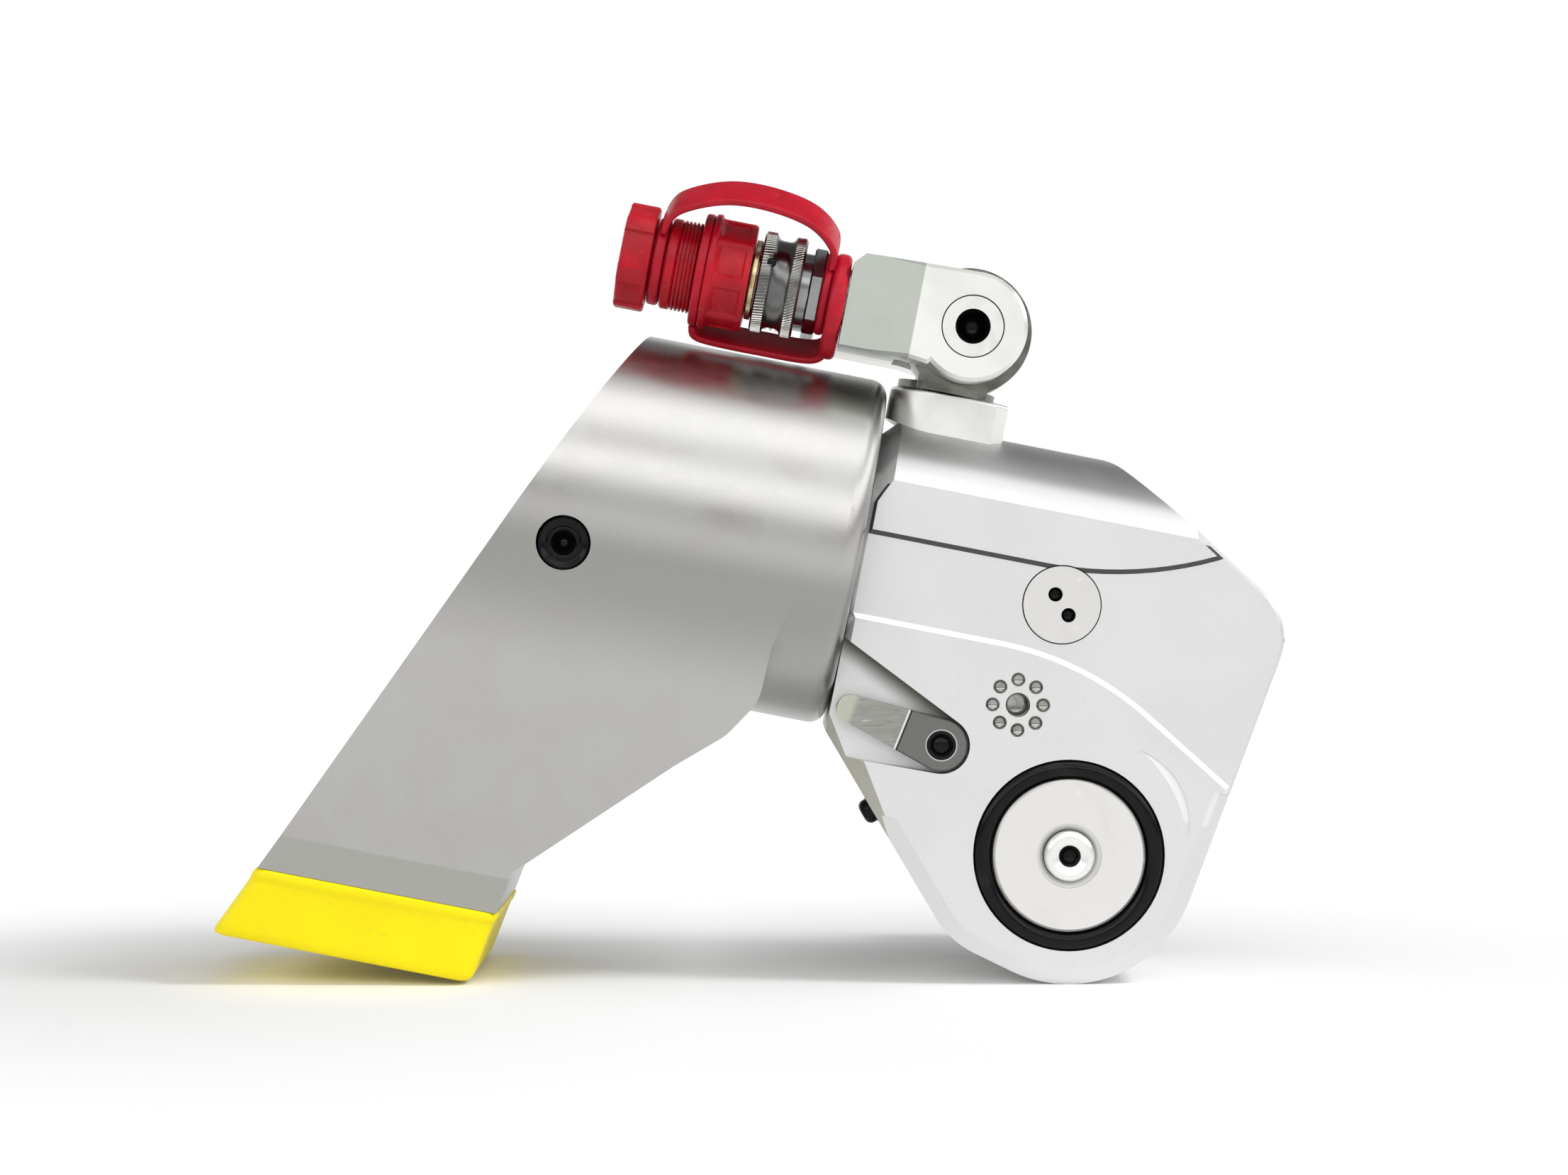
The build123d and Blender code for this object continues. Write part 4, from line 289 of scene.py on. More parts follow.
def vector_maths(tree, operation, first, second=(0.0, 0.0, 0.0), output="Vector"):
    made = shade(tree, "ShaderNodeVectorMath", {"operation": operation})
    feed(tree, made.inputs[0], first)
    feed(tree, made.inputs[1], second)
    return made.outputs[output]


def between(tree, value, low, high, to_low=0.0, to_high=1.0):
    """Value from low to high, eased, as to_low to to_high."""
    limits = {"From_Min": low, "From_Max": high, "To_Min": to_low, "To_Max": to_high}
    return step(tree, "ShaderNodeMapRange", value, {"interpolation_type": "SMOOTHSTEP"}, **limits)


def all_of(tree, *masks):
    """Product of masks."""
    result = masks[0]
    for mask in masks[1:]:
        result = maths(tree, "MULTIPLY", result, mask)
    return result


def in_band(tree, value, band):
    """Mask that rises from the band's first value to its second and falls from its third to its last."""
    start, full, fading, end = band
    return all_of(tree, between(tree, value, start, full), between(tree, value, end, fading))


def blend_colour(tree, factor, first, second):
    made = shade(tree, "ShaderNodeMix", {"data_type": "RGBA"})
    feed(tree, made.inputs[0], factor)
    for socket, colour in ((made.inputs[6], first), (made.inputs[7], second)):
        feed(tree, socket, colour if isinstance(colour, bpy.types.NodeSocket) else (*colour, 1.0))
    return made.outputs[2]


def tint(tree, tone, mask, colour, share=1.0):
    """Tone with at most a share of a colour over it where the mask is."""
    if share < 1.0:
        mask = maths(tree, "MULTIPLY", mask, share)
    return blend_colour(tree, mask, tone, colour)


def object_places(tree):
    return shade(tree, "ShaderNodeTexCoord").outputs["Object"]


def surface_places(tree, turn=(0.0, 0.0, 0.0), stretch=(1.0, 1.0, 1.0), centre=(0.0, 0.0, 0.0)):
    """Places on the piece, moved to a centre, turned and stretched."""
    moved = vector_maths(tree, "SUBTRACT", object_places(tree), centre)
    return step(tree, "ShaderNodeMapping", moved, {"vector_type": "POINT"}, Rotation=turn, Scale=stretch)


def noise_at(tree, vector, scale, detail, roughness, distortion=0.0):
    fractal = {"Scale": scale, "Detail": detail, "Roughness": roughness, "Distortion": distortion}
    return shade(tree, "ShaderNodeTexNoise", Vector=vector, **fractal).outputs["Fac"]


SOCKET_KINDS = {float: "Float", int: "Int", tuple: "Vector", type(None): "Material"}


def node_group(name, inputs, kind="ShaderNodeTree"):
    """Node group with inputs of these plain values; a geometry tree's mesh comes first."""
    group = bpy.data.node_groups.new(name, kind)
    new_socket = group.interface.new_socket
    if kind == "GeometryNodeTree":
        for way in ("INPUT", "OUTPUT"):
            new_socket("Geometry", in_out=way, socket_type="NodeSocketGeometry")
    for label, value in inputs.items():
        socket = new_socket(label, in_out="INPUT", socket_type="NodeSocket" + SOCKET_KINDS[type(value)])
        if value is not None:
            socket.default_value = value
    given = group.nodes.new("NodeGroupInput").outputs
    result = group.nodes.new("NodeGroupOutput").inputs
    return group, given, result


def blasted_grain(group, given):
    """Fine even grain of a blasted and anodised skin, with broad soft clouds in it."""
    places = surface_places(group)
    clouds = noise_at(group, places, given["Cloud Scale"], 3.0, 0.55, 0.4)
    smudge_scale = maths(group, "MULTIPLY", given["Cloud Scale"], 3.7)
    smudges = noise_at(group, places, smudge_scale, 4.0, 0.6, 0.8)
    return {
        "Grain": noise_at(group, places, given["Grain Scale"], 2.0, 0.6),
        "Clouds": between(group, clouds, 0.3, 0.7),
        "Smudges": between(group, smudges, 0.42, 0.75),
    }


def drawn_lines(group, given):
    """Lines left by a brush or a belt, along one direction."""
    places = surface_places(group, given["Turn"], given["Stretch"])
    coarse_scale = maths(group, "MULTIPLY", given["Scale"], 0.31)
    coarse = noise_at(group, places, coarse_scale, 2.0, 0.5, 0.3)
    lines = noise_at(group, places, given["Scale"], 3.0, 0.7)
    return {"Lines": lines, "Scratches": between(group, coarse, 0.66, 0.74)}


def turned_rings(group, given):
    """Rings left by a lathe about an axis along Y."""
    moved = vector_maths(group, "SUBTRACT", object_places(group), given["Centre"])
    flat = vector_maths(group, "MULTIPLY", moved, (1.0, 0.0, 1.0))
    radius = vector_maths(group, "LENGTH", flat, output="Value")
    turns = maths(group, "DIVIDE", radius, given["Pitch"])
    wave = maths(group, "SINE", maths(group, "MULTIPLY", turns, 2 * pi))
    return {"Rings": maths(group, "MULTIPLY_ADD", wave, 0.5, 0.5), "Radius": radius}


def worn_marks(group, given):
    """Soft stains, small scuffs and specks from handling."""
    places = surface_places(group)
    stains = noise_at(group, places, given["Stain Scale"], 5.0, 0.62, 0.9)
    long_places = surface_places(group, (0.4, 0.9, 0.3), (1.0, 0.22, 1.0))
    scuffs = noise_at(group, long_places, given["Scuff Scale"], 3.0, 0.65, 1.4)
    cells = step(group, "ShaderNodeTexVoronoi", Vector=places, Scale=given["Speck Scale"], Randomness=1.0)
    return {
        "Stains": between(group, stains, 0.56, 0.74),
        "Scuffs": between(group, scuffs, 0.62, 0.7),
        "Specks": between(group, cells, 0.16, 0.08),
    }


def level_places(group, _):
    """Place on the level tool in millimetres, and depth under the housing's faces."""
    scaled = shade(group, "ShaderNodeVectorMath", {"operation": "SCALE"}, Scale=1000.0)
    feed(group, scaled.inputs[0], object_places(group))
    along, upward, across = (
        vector_maths(group, "DOT_PRODUCT", scaled.outputs[0], direction, "Value")
        for direction in ((cos(LEAN), 0.0, -sin(LEAN)), (sin(LEAN), 0.0, cos(LEAN)), (0.0, 1.0, 0.0))
    )
    from_middle = maths(group, "ABSOLUTE", maths(group, "SUBTRACT", across, MIDDLE_Y))
    return {
        "U": along,
        "W": upward,
        "Depth": maths(group, "SUBTRACT", (FAR_FACE - NEAR_FACE) / 2, from_middle),
        "Near": maths(group, "LESS_THAN", across, MIDDLE_Y),
    }


EFFECTS = {}
for effect, starting_values in (
    (level_places, {}),
    (blasted_grain, {"Grain Scale": 1800.0, "Cloud Scale": 35.0}),
    (drawn_lines, {"Turn": (0.0, 0.0, 0.0), "Stretch": (0.04, 1.0, 1.0), "Scale": 1600.0}),
    (turned_rings, {"Centre": (0.0, 0.0, 0.0), "Pitch": 0.0006}),
    (worn_marks, {"Stain Scale": 45.0, "Scuff Scale": 260.0, "Speck Scale": 420.0}),
):
    shader_group, group_inputs, group_result = node_group(effect.__name__, starting_values)
    for output, worked_out in effect(shader_group, group_inputs).items():
        shader_group.interface.new_socket(output, in_out="OUTPUT", socket_type="NodeSocketFloat")
        feed(shader_group, group_result[output], worked_out)
    EFFECTS[effect.__name__] = shader_group


def use_effect(tree, name, **inputs):
    """Place an effect group in a material with its own values."""
    return shade(tree, "ShaderNodeGroup", {"node_tree": EFFECTS[name]}, **inputs).outputs


# Finishes


def finish_of(name, **constants):
    """New material with its surface shader; constants are that shader's plain values."""
    material = bpy.data.materials.new(name)
    material.use_nodes = True
    tree = material.node_tree
    skin = tree.nodes["Principled BSDF"]
    for label, given in constants.items():
        skin.inputs[label.replace("_", " ")].default_value = given
    return material, tree, skin.inputs


def coated(base, tone, gloss, height, strength, distance):
    """The material that finish_of began, with its colour, its roughness and a bump from a height mask."""
    material, tree, skin = base
    bump = shade(tree, "ShaderNodeBump", Height=height, Strength=strength, Distance=distance)
    for label, given in (("Base Color", tone), ("Roughness", gloss), ("Normal", bump.outputs["Normal"])):
        feed(tree, skin[label], given)
    return material


def blasted_metal(name, light, dark, smooth, rough, cloud_scale=35.0, grain=0.35, dress=None):
    """Blasted metal, with clouds of tone and fingerprints in its gloss; dress adds painted shade and painted
    highlights by place.
    """
    base = finish_of(name, Metallic=1.0)
    tree = base[1]
    marks = use_effect(tree, "blasted_grain", Cloud_Scale=cloud_scale)
    tone = blend_colour(tree, marks["Clouds"], dark, light)
    tone = tint(tree, tone, between(tree, marks["Grain"], 0.3, 0.7), [0.75 * part for part in dark], 0.12)
    if dress:
        tone = dress(tree, tone)
    polish = maths(tree, "MULTIPLY_ADD", marks["Smudges"], -0.4, marks["Clouds"])
    gloss = between(tree, polish, -0.4, 1.0, smooth, rough)
    return coated(base, tone, gloss, marks["Grain"], grain, 0.00004)


def housing_painted_light(tree, tone):
    """Painted shade on the barrel top, a painted shadow line under the band's upper shoulder, a painted
    highlight on its lower shoulder, and painted shade in the pocket's corner.
    """
    place = use_effect(tree, "level_places")
    up, along, depth = place["W"], place["U"], place["Depth"]
    shoulder = in_band(tree, depth, BAND_EDGE)
    upper = all_of(tree, shoulder, in_band(tree, up, BAND_TOP))
    lower = all_of(tree, shoulder, in_band(tree, up, BAND_FOOT), between(tree, along, *BAND_FOOT_END))
    on_face = step(tree, "ShaderNodeCombineXYZ", X=along, Y=up)
    reach = vector_maths(tree, "DOT_PRODUCT", on_face, POCKET_WALL, "Value")
    under_wall = maths(tree, "SUBTRACT", reach, POCKET_WALL_REACH)
    pocket = all_of(
        tree,
        in_band(tree, under_wall, POCKET_CORNER),
        between(tree, depth, *POCKET_DEPTH),
        between(tree, along, *POCKET_END),
        place["Near"],
    )
    barrel_top = all_of(tree, between(tree, depth, *BARREL_DEPTH), between(tree, up, *BARREL_TOP))
    # Painted shade: the barrel top darker
    tone = tint(tree, tone, barrel_top, (0.35, 0.36, 0.36), 0.65)
    # Painted shadow line under the band's upper shoulder
    tone = tint(tree, tone, upper, (0.10, 0.10, 0.095))
    # Painted highlight on the band's lower shoulder
    tone = tint(tree, tone, lower, (0.95, 0.95, 0.94), 0.55)
    # Painted shade in the lever pocket's corner
    return tint(tree, tone, pocket, (0.13, 0.13, 0.11))


def block_painted_shade(tree, tone):
    """Painted shade: a greener, darker tone on the coupler's side of the block, past the line where its face
    tilts.
    """
    place = use_effect(tree, "level_places")
    left = all_of(tree, between(tree, place["U"], *BLOCK_SHADE), place["Near"])
    # Painted shade on the tilted face
    return tint(tree, tone, left, (0.54, 0.575, 0.52))


def arm_painted_shade(tree, tone):
    """Painted shade: a darker band along the arm's shoulder, and a darker land above the boot."""
    up = use_effect(tree, "level_places")["W"]
    # Painted shade along the shoulder
    tone = tint(tree, tone, in_band(tree, up, ARM_SHOULDER), (0.30, 0.30, 0.285), 0.75)
    # Painted shade on the land above the boot
    return tint(tree, tone, between(tree, up, *ARM_LAND), (0.42, 0.42, 0.385), 0.8)


def lathed_metal(name, light, dark, centre, pitch, roughness, recess_shade=None):
    """Metal with a lathe's fine rings and handling marks; recess_shade is the outer and inner radius of a
    ring of painted shade.
    """
    base = finish_of(name, Metallic=1.0)
    tree = base[1]
    lathe = use_effect(tree, "turned_rings", Centre=centre, Pitch=pitch)
    marks = use_effect(tree, "worn_marks")
    tone = blend_colour(tree, lathe["Rings"], dark, light)
    tone = tint(tree, tone, marks["Stains"], [0.6 * part for part in dark], 0.12)
    # Painted shade ring round the centre, where a radius pair is given
    if recess_shade:
        tone = tint(tree, tone, between(tree, lathe["Radius"], *recess_shade), (0.22, 0.22, 0.205))
    gloss = between(tree, marks["Scuffs"], 0.0, 1.0, roughness, roughness + 0.2)
    return coated(base, tone, gloss, lathe["Rings"], 0.3, 0.00002)


def blackened_steel(name="blackened_steel", roughness=0.22, wear=0.2):
    """Oiled black finish with specks worn to the steel; holes are lined with it as painted shade."""
    base = finish_of(name, Metallic=0.5, Specular_IOR_Level=0.3)
    tree = base[1]
    marks = use_effect(tree, "worn_marks", Scuff_Scale=500.0)
    grain = use_effect(tree, "blasted_grain", Grain_Scale=2600.0)
    worn = maths(tree, "MULTIPLY", marks["Scuffs"], wear)
    tone = blend_colour(tree, worn, (0.006, 0.006, 0.007), (0.32, 0.31, 0.30))
    gloss = between(tree, grain["Clouds"], 0.0, 1.0, roughness, roughness + 0.14)
    return coated(base, tone, gloss, grain["Grain"], 0.15, 0.00003)


def lever_steel():
    """Dark satin steel; the thumb pad is brushed lengthwise and scratched, and its tip is worn lighter; the
    pad's step has a painted highlight with a painted shade line beside it, and a painted highlight ring goes
    round the screw.
    """
    base = finish_of("lever_steel", Metallic=0.85)
    tree = base[1]
    turn = (0.0, radians(-LEVER_ANGLE) - LEAN, 0.0)
    lines = use_effect(tree, "drawn_lines", Turn=turn, Stretch=(0.05, 1.0, 1.0), Scale=1500.0)
    pivot = at(LEVER_PIVOT[0], NEAR_FACE, LEVER_PIVOT[1])
    lathe = use_effect(tree, "turned_rings", Centre=pivot, Pitch=0.0005)
    grain = use_effect(tree, "blasted_grain", Grain_Scale=2200.0, Cloud_Scale=120.0)
    place = use_effect(tree, "level_places")
    on_face = step(tree, "ShaderNodeCombineXYZ", X=place["U"], Y=place["W"])
    slope = (-cos(radians(LEVER_ANGLE)), sin(radians(LEVER_ANGLE)), 0.0)
    reach = vector_maths(tree, "DOT_PRODUCT", on_face, slope, "Value")
    along = maths(tree, "SUBTRACT", reach, LEVER_PIVOT[0] * slope[0] + LEVER_PIVOT[1] * slope[1])
    brushed = blend_colour(tree, lines["Lines"], (0.22, 0.22, 0.20), (0.48, 0.48, 0.44))
    brushed = tint(tree, brushed, lines["Scratches"], (0.92, 0.92, 0.90), 0.7)
    boss = blend_colour(tree, grain["Grain"], (0.15, 0.155, 0.145), (0.21, 0.215, 0.20))
    tone = blend_colour(tree, between(tree, along, *PAD_START), boss, brushed)
    # Painted highlight along the pad's step
    tone = tint(tree, tone, in_band(tree, along, PAD_STEP_HIGHLIGHT), (0.95, 0.95, 0.93))
    # Painted shade line beside the step
    tone = tint(tree, tone, in_band(tree, along, PAD_SHADE_LINE), (0.03, 0.03, 0.03))
    tone = tint(tree, tone, between(tree, along, *PAD_TIP), (0.52, 0.53, 0.44))
    # Painted highlight ring round the screw
    tone = tint(tree, tone, between(tree, lathe["Radius"], *SCREW_RIM_HIGHLIGHT), (0.6, 0.6, 0.6))
    gloss = between(tree, lines["Lines"], 0.2, 0.8, 0.3, 0.46)
    return coated(base, tone, gloss, lines["Lines"], 0.3, 0.00004)


def worn_brass():
    """Brass dulled by oil, with dark specks."""
    base = finish_of("worn_brass", Metallic=1.0)
    tree = base[1]
    marks = use_effect(tree, "worn_marks", Stain_Scale=300.0, Speck_Scale=900.0)
    grain = use_effect(tree, "blasted_grain", Cloud_Scale=260.0)
    tone = blend_colour(tree, grain["Clouds"], (0.55, 0.40, 0.18), (0.83, 0.72, 0.47))
    dirt = maths(tree, "MAXIMUM", marks["Specks"], maths(tree, "MULTIPLY", marks["Stains"], 0.6))
    tone = tint(tree, tone, dirt, (0.05, 0.04, 0.025))
    gloss = between(tree, dirt, 0.0, 1.0, 0.28, 0.7)
    return coated(base, tone, gloss, grain["Grain"], 0.3, 0.00005)


def seal_rubber():
    """Oiled black rubber."""
    base = finish_of("seal_rubber", Metallic=0.0, Specular_IOR_Level=0.2)
    tree = base[1]
    grain = use_effect(tree, "blasted_grain", Grain_Scale=1500.0, Cloud_Scale=200.0)
    marks = use_effect(tree, "worn_marks")
    tone = blend_colour(tree, marks["Stains"], (0.003, 0.003, 0.004), (0.01, 0.01, 0.01))
    gloss = between(tree, grain["Clouds"], 0.0, 1.0, 0.1, 0.26)
    return coated(base, tone, gloss, grain["Grain"], 0.2, 0.00004)


def moulded_red(name, bright, deep, roughness, wear):
    """Crimson moulding with faint flow marks, dust in the corners and rubbed spots."""
    base = finish_of(name, Metallic=0.0, Specular_IOR_Level=0.3)
    tree = base[1]
    grain = use_effect(tree, "blasted_grain", Grain_Scale=900.0, Cloud_Scale=90.0)
    marks = use_effect(tree, "worn_marks", Scuff_Scale=320.0, Speck_Scale=500.0)
    tone = blend_colour(tree, grain["Clouds"], deep, bright)
    tone = tint(tree, tone, marks["Scuffs"], (0.78, 0.42, 0.42), wear)
    tone = tint(tree, tone, marks["Specks"], (0.09, 0.01, 0.012), 0.35)
    rubbed = maths(tree, "MAXIMUM", marks["Scuffs"], grain["Smudges"])
    gloss = between(tree, rubbed, 0.0, 1.0, roughness, roughness + 0.22)
    return coated(base, tone, gloss, grain["Grain"], 0.12, 0.00006)


def boot_vinyl():
    """Bright yellow dipped vinyl, stained, scuffed and specked."""
    base = finish_of("boot_vinyl", Metallic=0.0, Specular_IOR_Level=0.25)
    tree = base[1]
    marks = use_effect(tree, "worn_marks", Stain_Scale=60.0, Scuff_Scale=180.0, Speck_Scale=300.0)
    grain = use_effect(tree, "blasted_grain", Grain_Scale=1200.0, Cloud_Scale=50.0)
    tone = blend_colour(tree, grain["Clouds"], (0.93, 0.76, 0.0), (0.95, 0.80, 0.0))
    tone = tint(tree, tone, marks["Stains"], (0.72, 0.56, 0.03), 0.16)
    tone = tint(tree, tone, marks["Scuffs"], (0.45, 0.38, 0.06), 0.12)
    tone = tint(tree, tone, marks["Specks"], (0.30, 0.24, 0.04), 0.05)
    gloss = between(tree, grain["Smudges"], 0.0, 1.0, 0.38, 0.55)
    return coated(base, tone, gloss, grain["Grain"], 0.2, 0.0001)


SATIN_SILVER = blasted_metal(
    "housing_silver", (0.775, 0.78, 0.775), (0.76, 0.765, 0.76), 0.46, 0.52, dress=housing_painted_light
)
ARM_SILVER = blasted_metal(
    "arm_silver", (0.52, 0.525, 0.505), (0.51, 0.495, 0.485), 0.27, 0.33, 55.0, dress=arm_painted_shade
)
BLOCK_SILVER = blasted_metal(
    "block_silver", (0.95, 0.95, 0.915), (0.93, 0.93, 0.90), 0.34, 0.42, dress=block_painted_shade
)
PIN_SILVER = blasted_metal("pin_silver", (0.92, 0.92, 0.88), (0.89, 0.89, 0.86), 0.3, 0.4, 160.0)
BASE_SILVER = blasted_metal("base_silver", (0.96, 0.96, 0.93), (0.93, 0.93, 0.90), 0.3, 0.38, 90.0)
POST_STEEL = blasted_metal("post_steel", (0.26, 0.26, 0.24), (0.15, 0.15, 0.13), 0.22, 0.36, 120.0)
DISC_METAL = lathed_metal(
    "disc_metal", (0.83, 0.82, 0.80), (0.82, 0.81, 0.79), (0.0, 0.0, 0.0), 0.0009, 0.4, DISC_RECESS_SHADE
)
PLUG_CENTRE = at(ACCESS_PLUG[0], NEAR_FACE, ACCESS_PLUG[1])
PLUG_METAL = lathed_metal("plug_metal", (0.82, 0.81, 0.79), (0.81, 0.80, 0.78), PLUG_CENTRE, 0.0008, 0.36)
COUPLER_STEEL = blasted_metal("coupler_steel", (0.34, 0.34, 0.345), (0.22, 0.22, 0.225), 0.16, 0.26, 60.0)
SLEEVE_STEEL = blasted_metal("sleeve_steel", (0.20, 0.20, 0.195), (0.13, 0.13, 0.13), 0.18, 0.26, 60.0)
KNURL_STEEL = blasted_metal("knurl_steel", (0.86, 0.86, 0.82), (0.62, 0.62, 0.58), 0.2, 0.34, 400.0)
# Black lining for holes: painted shade
HOLE_PAINTED_SHADE = blackened_steel("hole_painted_shade", 0.3, 0.0)
DIMPLE_CHROME = blasted_metal("dimple_chrome", (0.42, 0.42, 0.40), (0.26, 0.26, 0.24), 0.08, 0.16, 300.0)
MACHINED_STEEL = blasted_metal("machined_steel", (0.62, 0.62, 0.61), (0.52, 0.52, 0.52), 0.26, 0.38)
POLISHED_STEEL = blasted_metal(
    "polished_steel", (0.80, 0.80, 0.81), (0.72, 0.72, 0.73), 0.08, 0.16, grain=0.05
)
WIRE_STEEL = blasted_metal("wire_steel", (0.46, 0.46, 0.47), (0.36, 0.36, 0.37), 0.25, 0.4)
BEARING_BRONZE = blasted_metal("bearing_bronze", (0.66, 0.50, 0.28), (0.56, 0.41, 0.21), 0.3, 0.45)
BLACK_STEEL = blackened_steel()
BLACK_BUTTON = blackened_steel("button_black", 0.12, 0.05)
BLACK_DRIVE = blackened_steel("drive_black", 0.34, 0.45)
LEVER_STEEL = lever_steel()
BRASS = worn_brass()
RUBBER = seal_rubber()
RED_PLASTIC = moulded_red("red_plastic", (0.48, 0.003, 0.015), (0.34, 0.002, 0.010), 0.34, 0.06)
RED_STRAP = moulded_red("red_strap", (0.46, 0.003, 0.018), (0.36, 0.002, 0.014), 0.36, 0.04)
YELLOW = boot_vinyl()

CAD_FINISH = (
    (SATIN_SILVER, ("housing", "front_cover")),
    (ARM_SILVER, ("reaction_arm",)),
    (BLOCK_SILVER, ("swivel_block",)),
    (PIN_SILVER, ("swivel_pin",)),
    (BASE_SILVER, ("swivel_base",)),
    (POST_STEEL, ("swivel_post",)),
    (DISC_METAL, ("retainer_disc",)),
    (PLUG_METAL, ("access_plugs",)),
    (LEVER_STEEL, ("release_lever",)),
    (COUPLER_STEEL, ("female_coupler", "male_coupler")),
    (WIRE_STEEL, ("post_circlip",)),
    (BEARING_BRONZE, ("rod_bushing", "drive_bushings")),
    (RUBBER, ("end_cap_seal", "rod_seal", "piston_seals", "swivel_seals")),
    (POLISHED_STEEL, ("piston_rod", "rod_pin", "drive_pawl_pin", "retainer_balls")),
    (BLACK_DRIVE, ("square_drive",)),
    (BLACK_STEEL, ("front_cover_screws", "end_cap_screws", "swivel_base_screws")),
    (BLACK_STEEL, ("piston_nut", "pawl_spring_plug", "swivel_pin_nut")),
    (MACHINED_STEEL, ("cylinder_end_cap", "piston", "drive_plate_near", "drive_plate_far", "spring_bridge")),
    (MACHINED_STEEL, ("drive_pawl", "ratchet", "reaction_pawl", "pawl_shaft")),
)


def dress_cad_nodes():
    """Give every node that stays its finish."""
    for material, names in CAD_FINISH:
        for name in names:
            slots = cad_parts[name].data.materials
            slots.clear()
            slots.append(material)


# Modelled pieces


def belongs(made, body, stands_for=None):
    """Let a piece ride on a body, and hide the node that it stands for."""
    if stands_for:
        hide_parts(stands_for)
    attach(made, body)


def piece(name, points, faces, material):
    """New smooth piece from its points, in metres as the tool leans, and its faces."""
    mesh = bpy.data.meshes.new(name)
    mesh.from_pydata([tuple(point) for point in points], [], faces)
    mesh.materials.append(material)
    mesh.polygons.foreach_set("use_smooth", [True] * len(mesh.polygons))
    mesh.update()
    made = bpy.data.objects.new(name, mesh)
    bpy.context.scene.collection.objects.link(made)
    return made


def skinned(name, rings, material, looped=False):
    """Closed piece over rings of equally many points, looped or with a face at each end."""
    count = len(rings[0])
    faces = []
    for row in range(len(rings) if looped else len(rings) - 1):
        low = row * count
        high = (row + 1) % len(rings) * count
        for corner in range(count):
            after = (corner + 1) % count
            faces.append((low + corner, low + after, high + after, high + corner))
    points = [point for ring in rings for point in ring]
    if not looped:
        faces.append(tuple(reversed(range(count))))
        faces.append(tuple(range(len(points) - count, len(points))))
    made = piece(name, points, faces, material)
    work = bmesh.new()
    work.from_mesh(made.data)
    bmesh.ops.remove_doubles(work, verts=work.verts, dist=1e-7)
    bmesh.ops.recalc_face_normals(work, faces=work.faces)
    work.to_mesh(made.data)
    work.free()
    return made


def rounded_section(width, height, radius, steps=4):
    """Corner-rounded rectangle as (across, up) points, anticlockwise."""
    points = []
    for corner, (side, up) in enumerate(((1, 1), (-1, 1), (-1, -1), (1, -1))):
        middle = (side * (width / 2 - radius), up * (height / 2 - radius))
        for share in range(steps + 1):
            angle = pi / 2 * (corner + share / steps)
            points.append((middle[0] + radius * cos(angle), middle[1] + radius * sin(angle)))
    return points


def turned_piece(name, profile, centre, material, axis="u", steps=128, swell=None, sharp=None):
    """Closed profile of (along, radius) points turned about an axis through a level centre.

    Swell, where given, changes a radius by the angle about the axis; edges over the sharp angle stay crisp.
    """
    u, y, w = centre
    rings = []
    for turn in range(steps):
        angle = 2 * pi * turn / steps
        ring = []
        for along, radius in profile:
            if swell:
                radius = swell(along, radius, angle)
            if axis == "u":
                ring.append(at(u + along, y + radius * sin(angle), w + radius * cos(angle)))
            else:
                ring.append(at(u + radius * cos(angle), y + along, w + radius * sin(angle)))
        rings.append(ring)
    made = skinned(name, rings, material, looped=True)
    if sharp:
        made.data.set_sharp_from_angle(angle=radians(sharp))
    return made


def turned_ring(name, sizes, material, drop=0.0):
    """Rounded ring on the coupler's axis: its place, width, inner, outer and corner radius."""
    place, width, inner, outer, corner = sizes
    middle = (inner + outer) / 2
    profile = [(along, middle + up) for along, up in rounded_section(width, outer - inner, corner, 5)]
    return turned_piece(name, profile, (place, COUPLER_Y, COUPLER_W - drop), material)


def smooth_path(points, steps=14):
    """Points along a smooth curve through the given ones."""
    padded = [points[0], *points, points[-1]]
    path = []
    for place in range(1, len(padded) - 2):
        before, start, end, after = (Vector(padded[place + shift]) for shift in (-1, 0, 1, 2))
        slope = end - before
        bend = 2 * before - 5 * start + 4 * end - after
        twist = 3 * start - before - 3 * end + after
        for count in range(steps):
            share = count / steps
            path.append(0.5 * (2 * start + slope * share + bend * share**2 + twist * share**3))
    path.append(Vector(points[-1]))
    return path


def strap_band(name, route, turn):
    """Flat strap with rounded edges along (u, radius) points, in a plane turned about the coupler."""
    path = smooth_path([(u, radius, 0.0) for u, radius in route])
    across = Vector((0.0, -sin(radians(turn + 90)), cos(radians(turn + 90))))
    up = Vector((0.0, -sin(radians(turn)), cos(radians(turn))))
    section = rounded_section(STRAP_WIDTH, STRAP_THICKNESS, STRAP_EDGE)
    rings = []
    for place, point in enumerate(path):
        before = path[max(place - 1, 0)]
        after = path[min(place + 1, len(path) - 1)]
        run = (after - before).normalized()
        normal = up * run.x + Vector((1, 0, 0)) * -run.y
        middle = Vector((point.x, COUPLER_Y, COUPLER_W)) + up * point.y
        rings.append([at(*(middle + across * side + normal * rise)) for side, rise in section])
    return skinned(name, rings, RED_STRAP)


def join_pieces(name, parts):
    """One piece from several, whose own objects go."""
    points, faces = [], []
    for part in parts:
        start = len(points)
        points += [vertex.co.copy() for vertex in part.data.vertices]
        faces += [tuple(start + index for index in face.vertices) for face in part.data.polygons]
    material = parts[0].data.materials[0]
    for part in parts:
        bpy.data.objects.remove(part)
    return piece(name, points, faces, material)


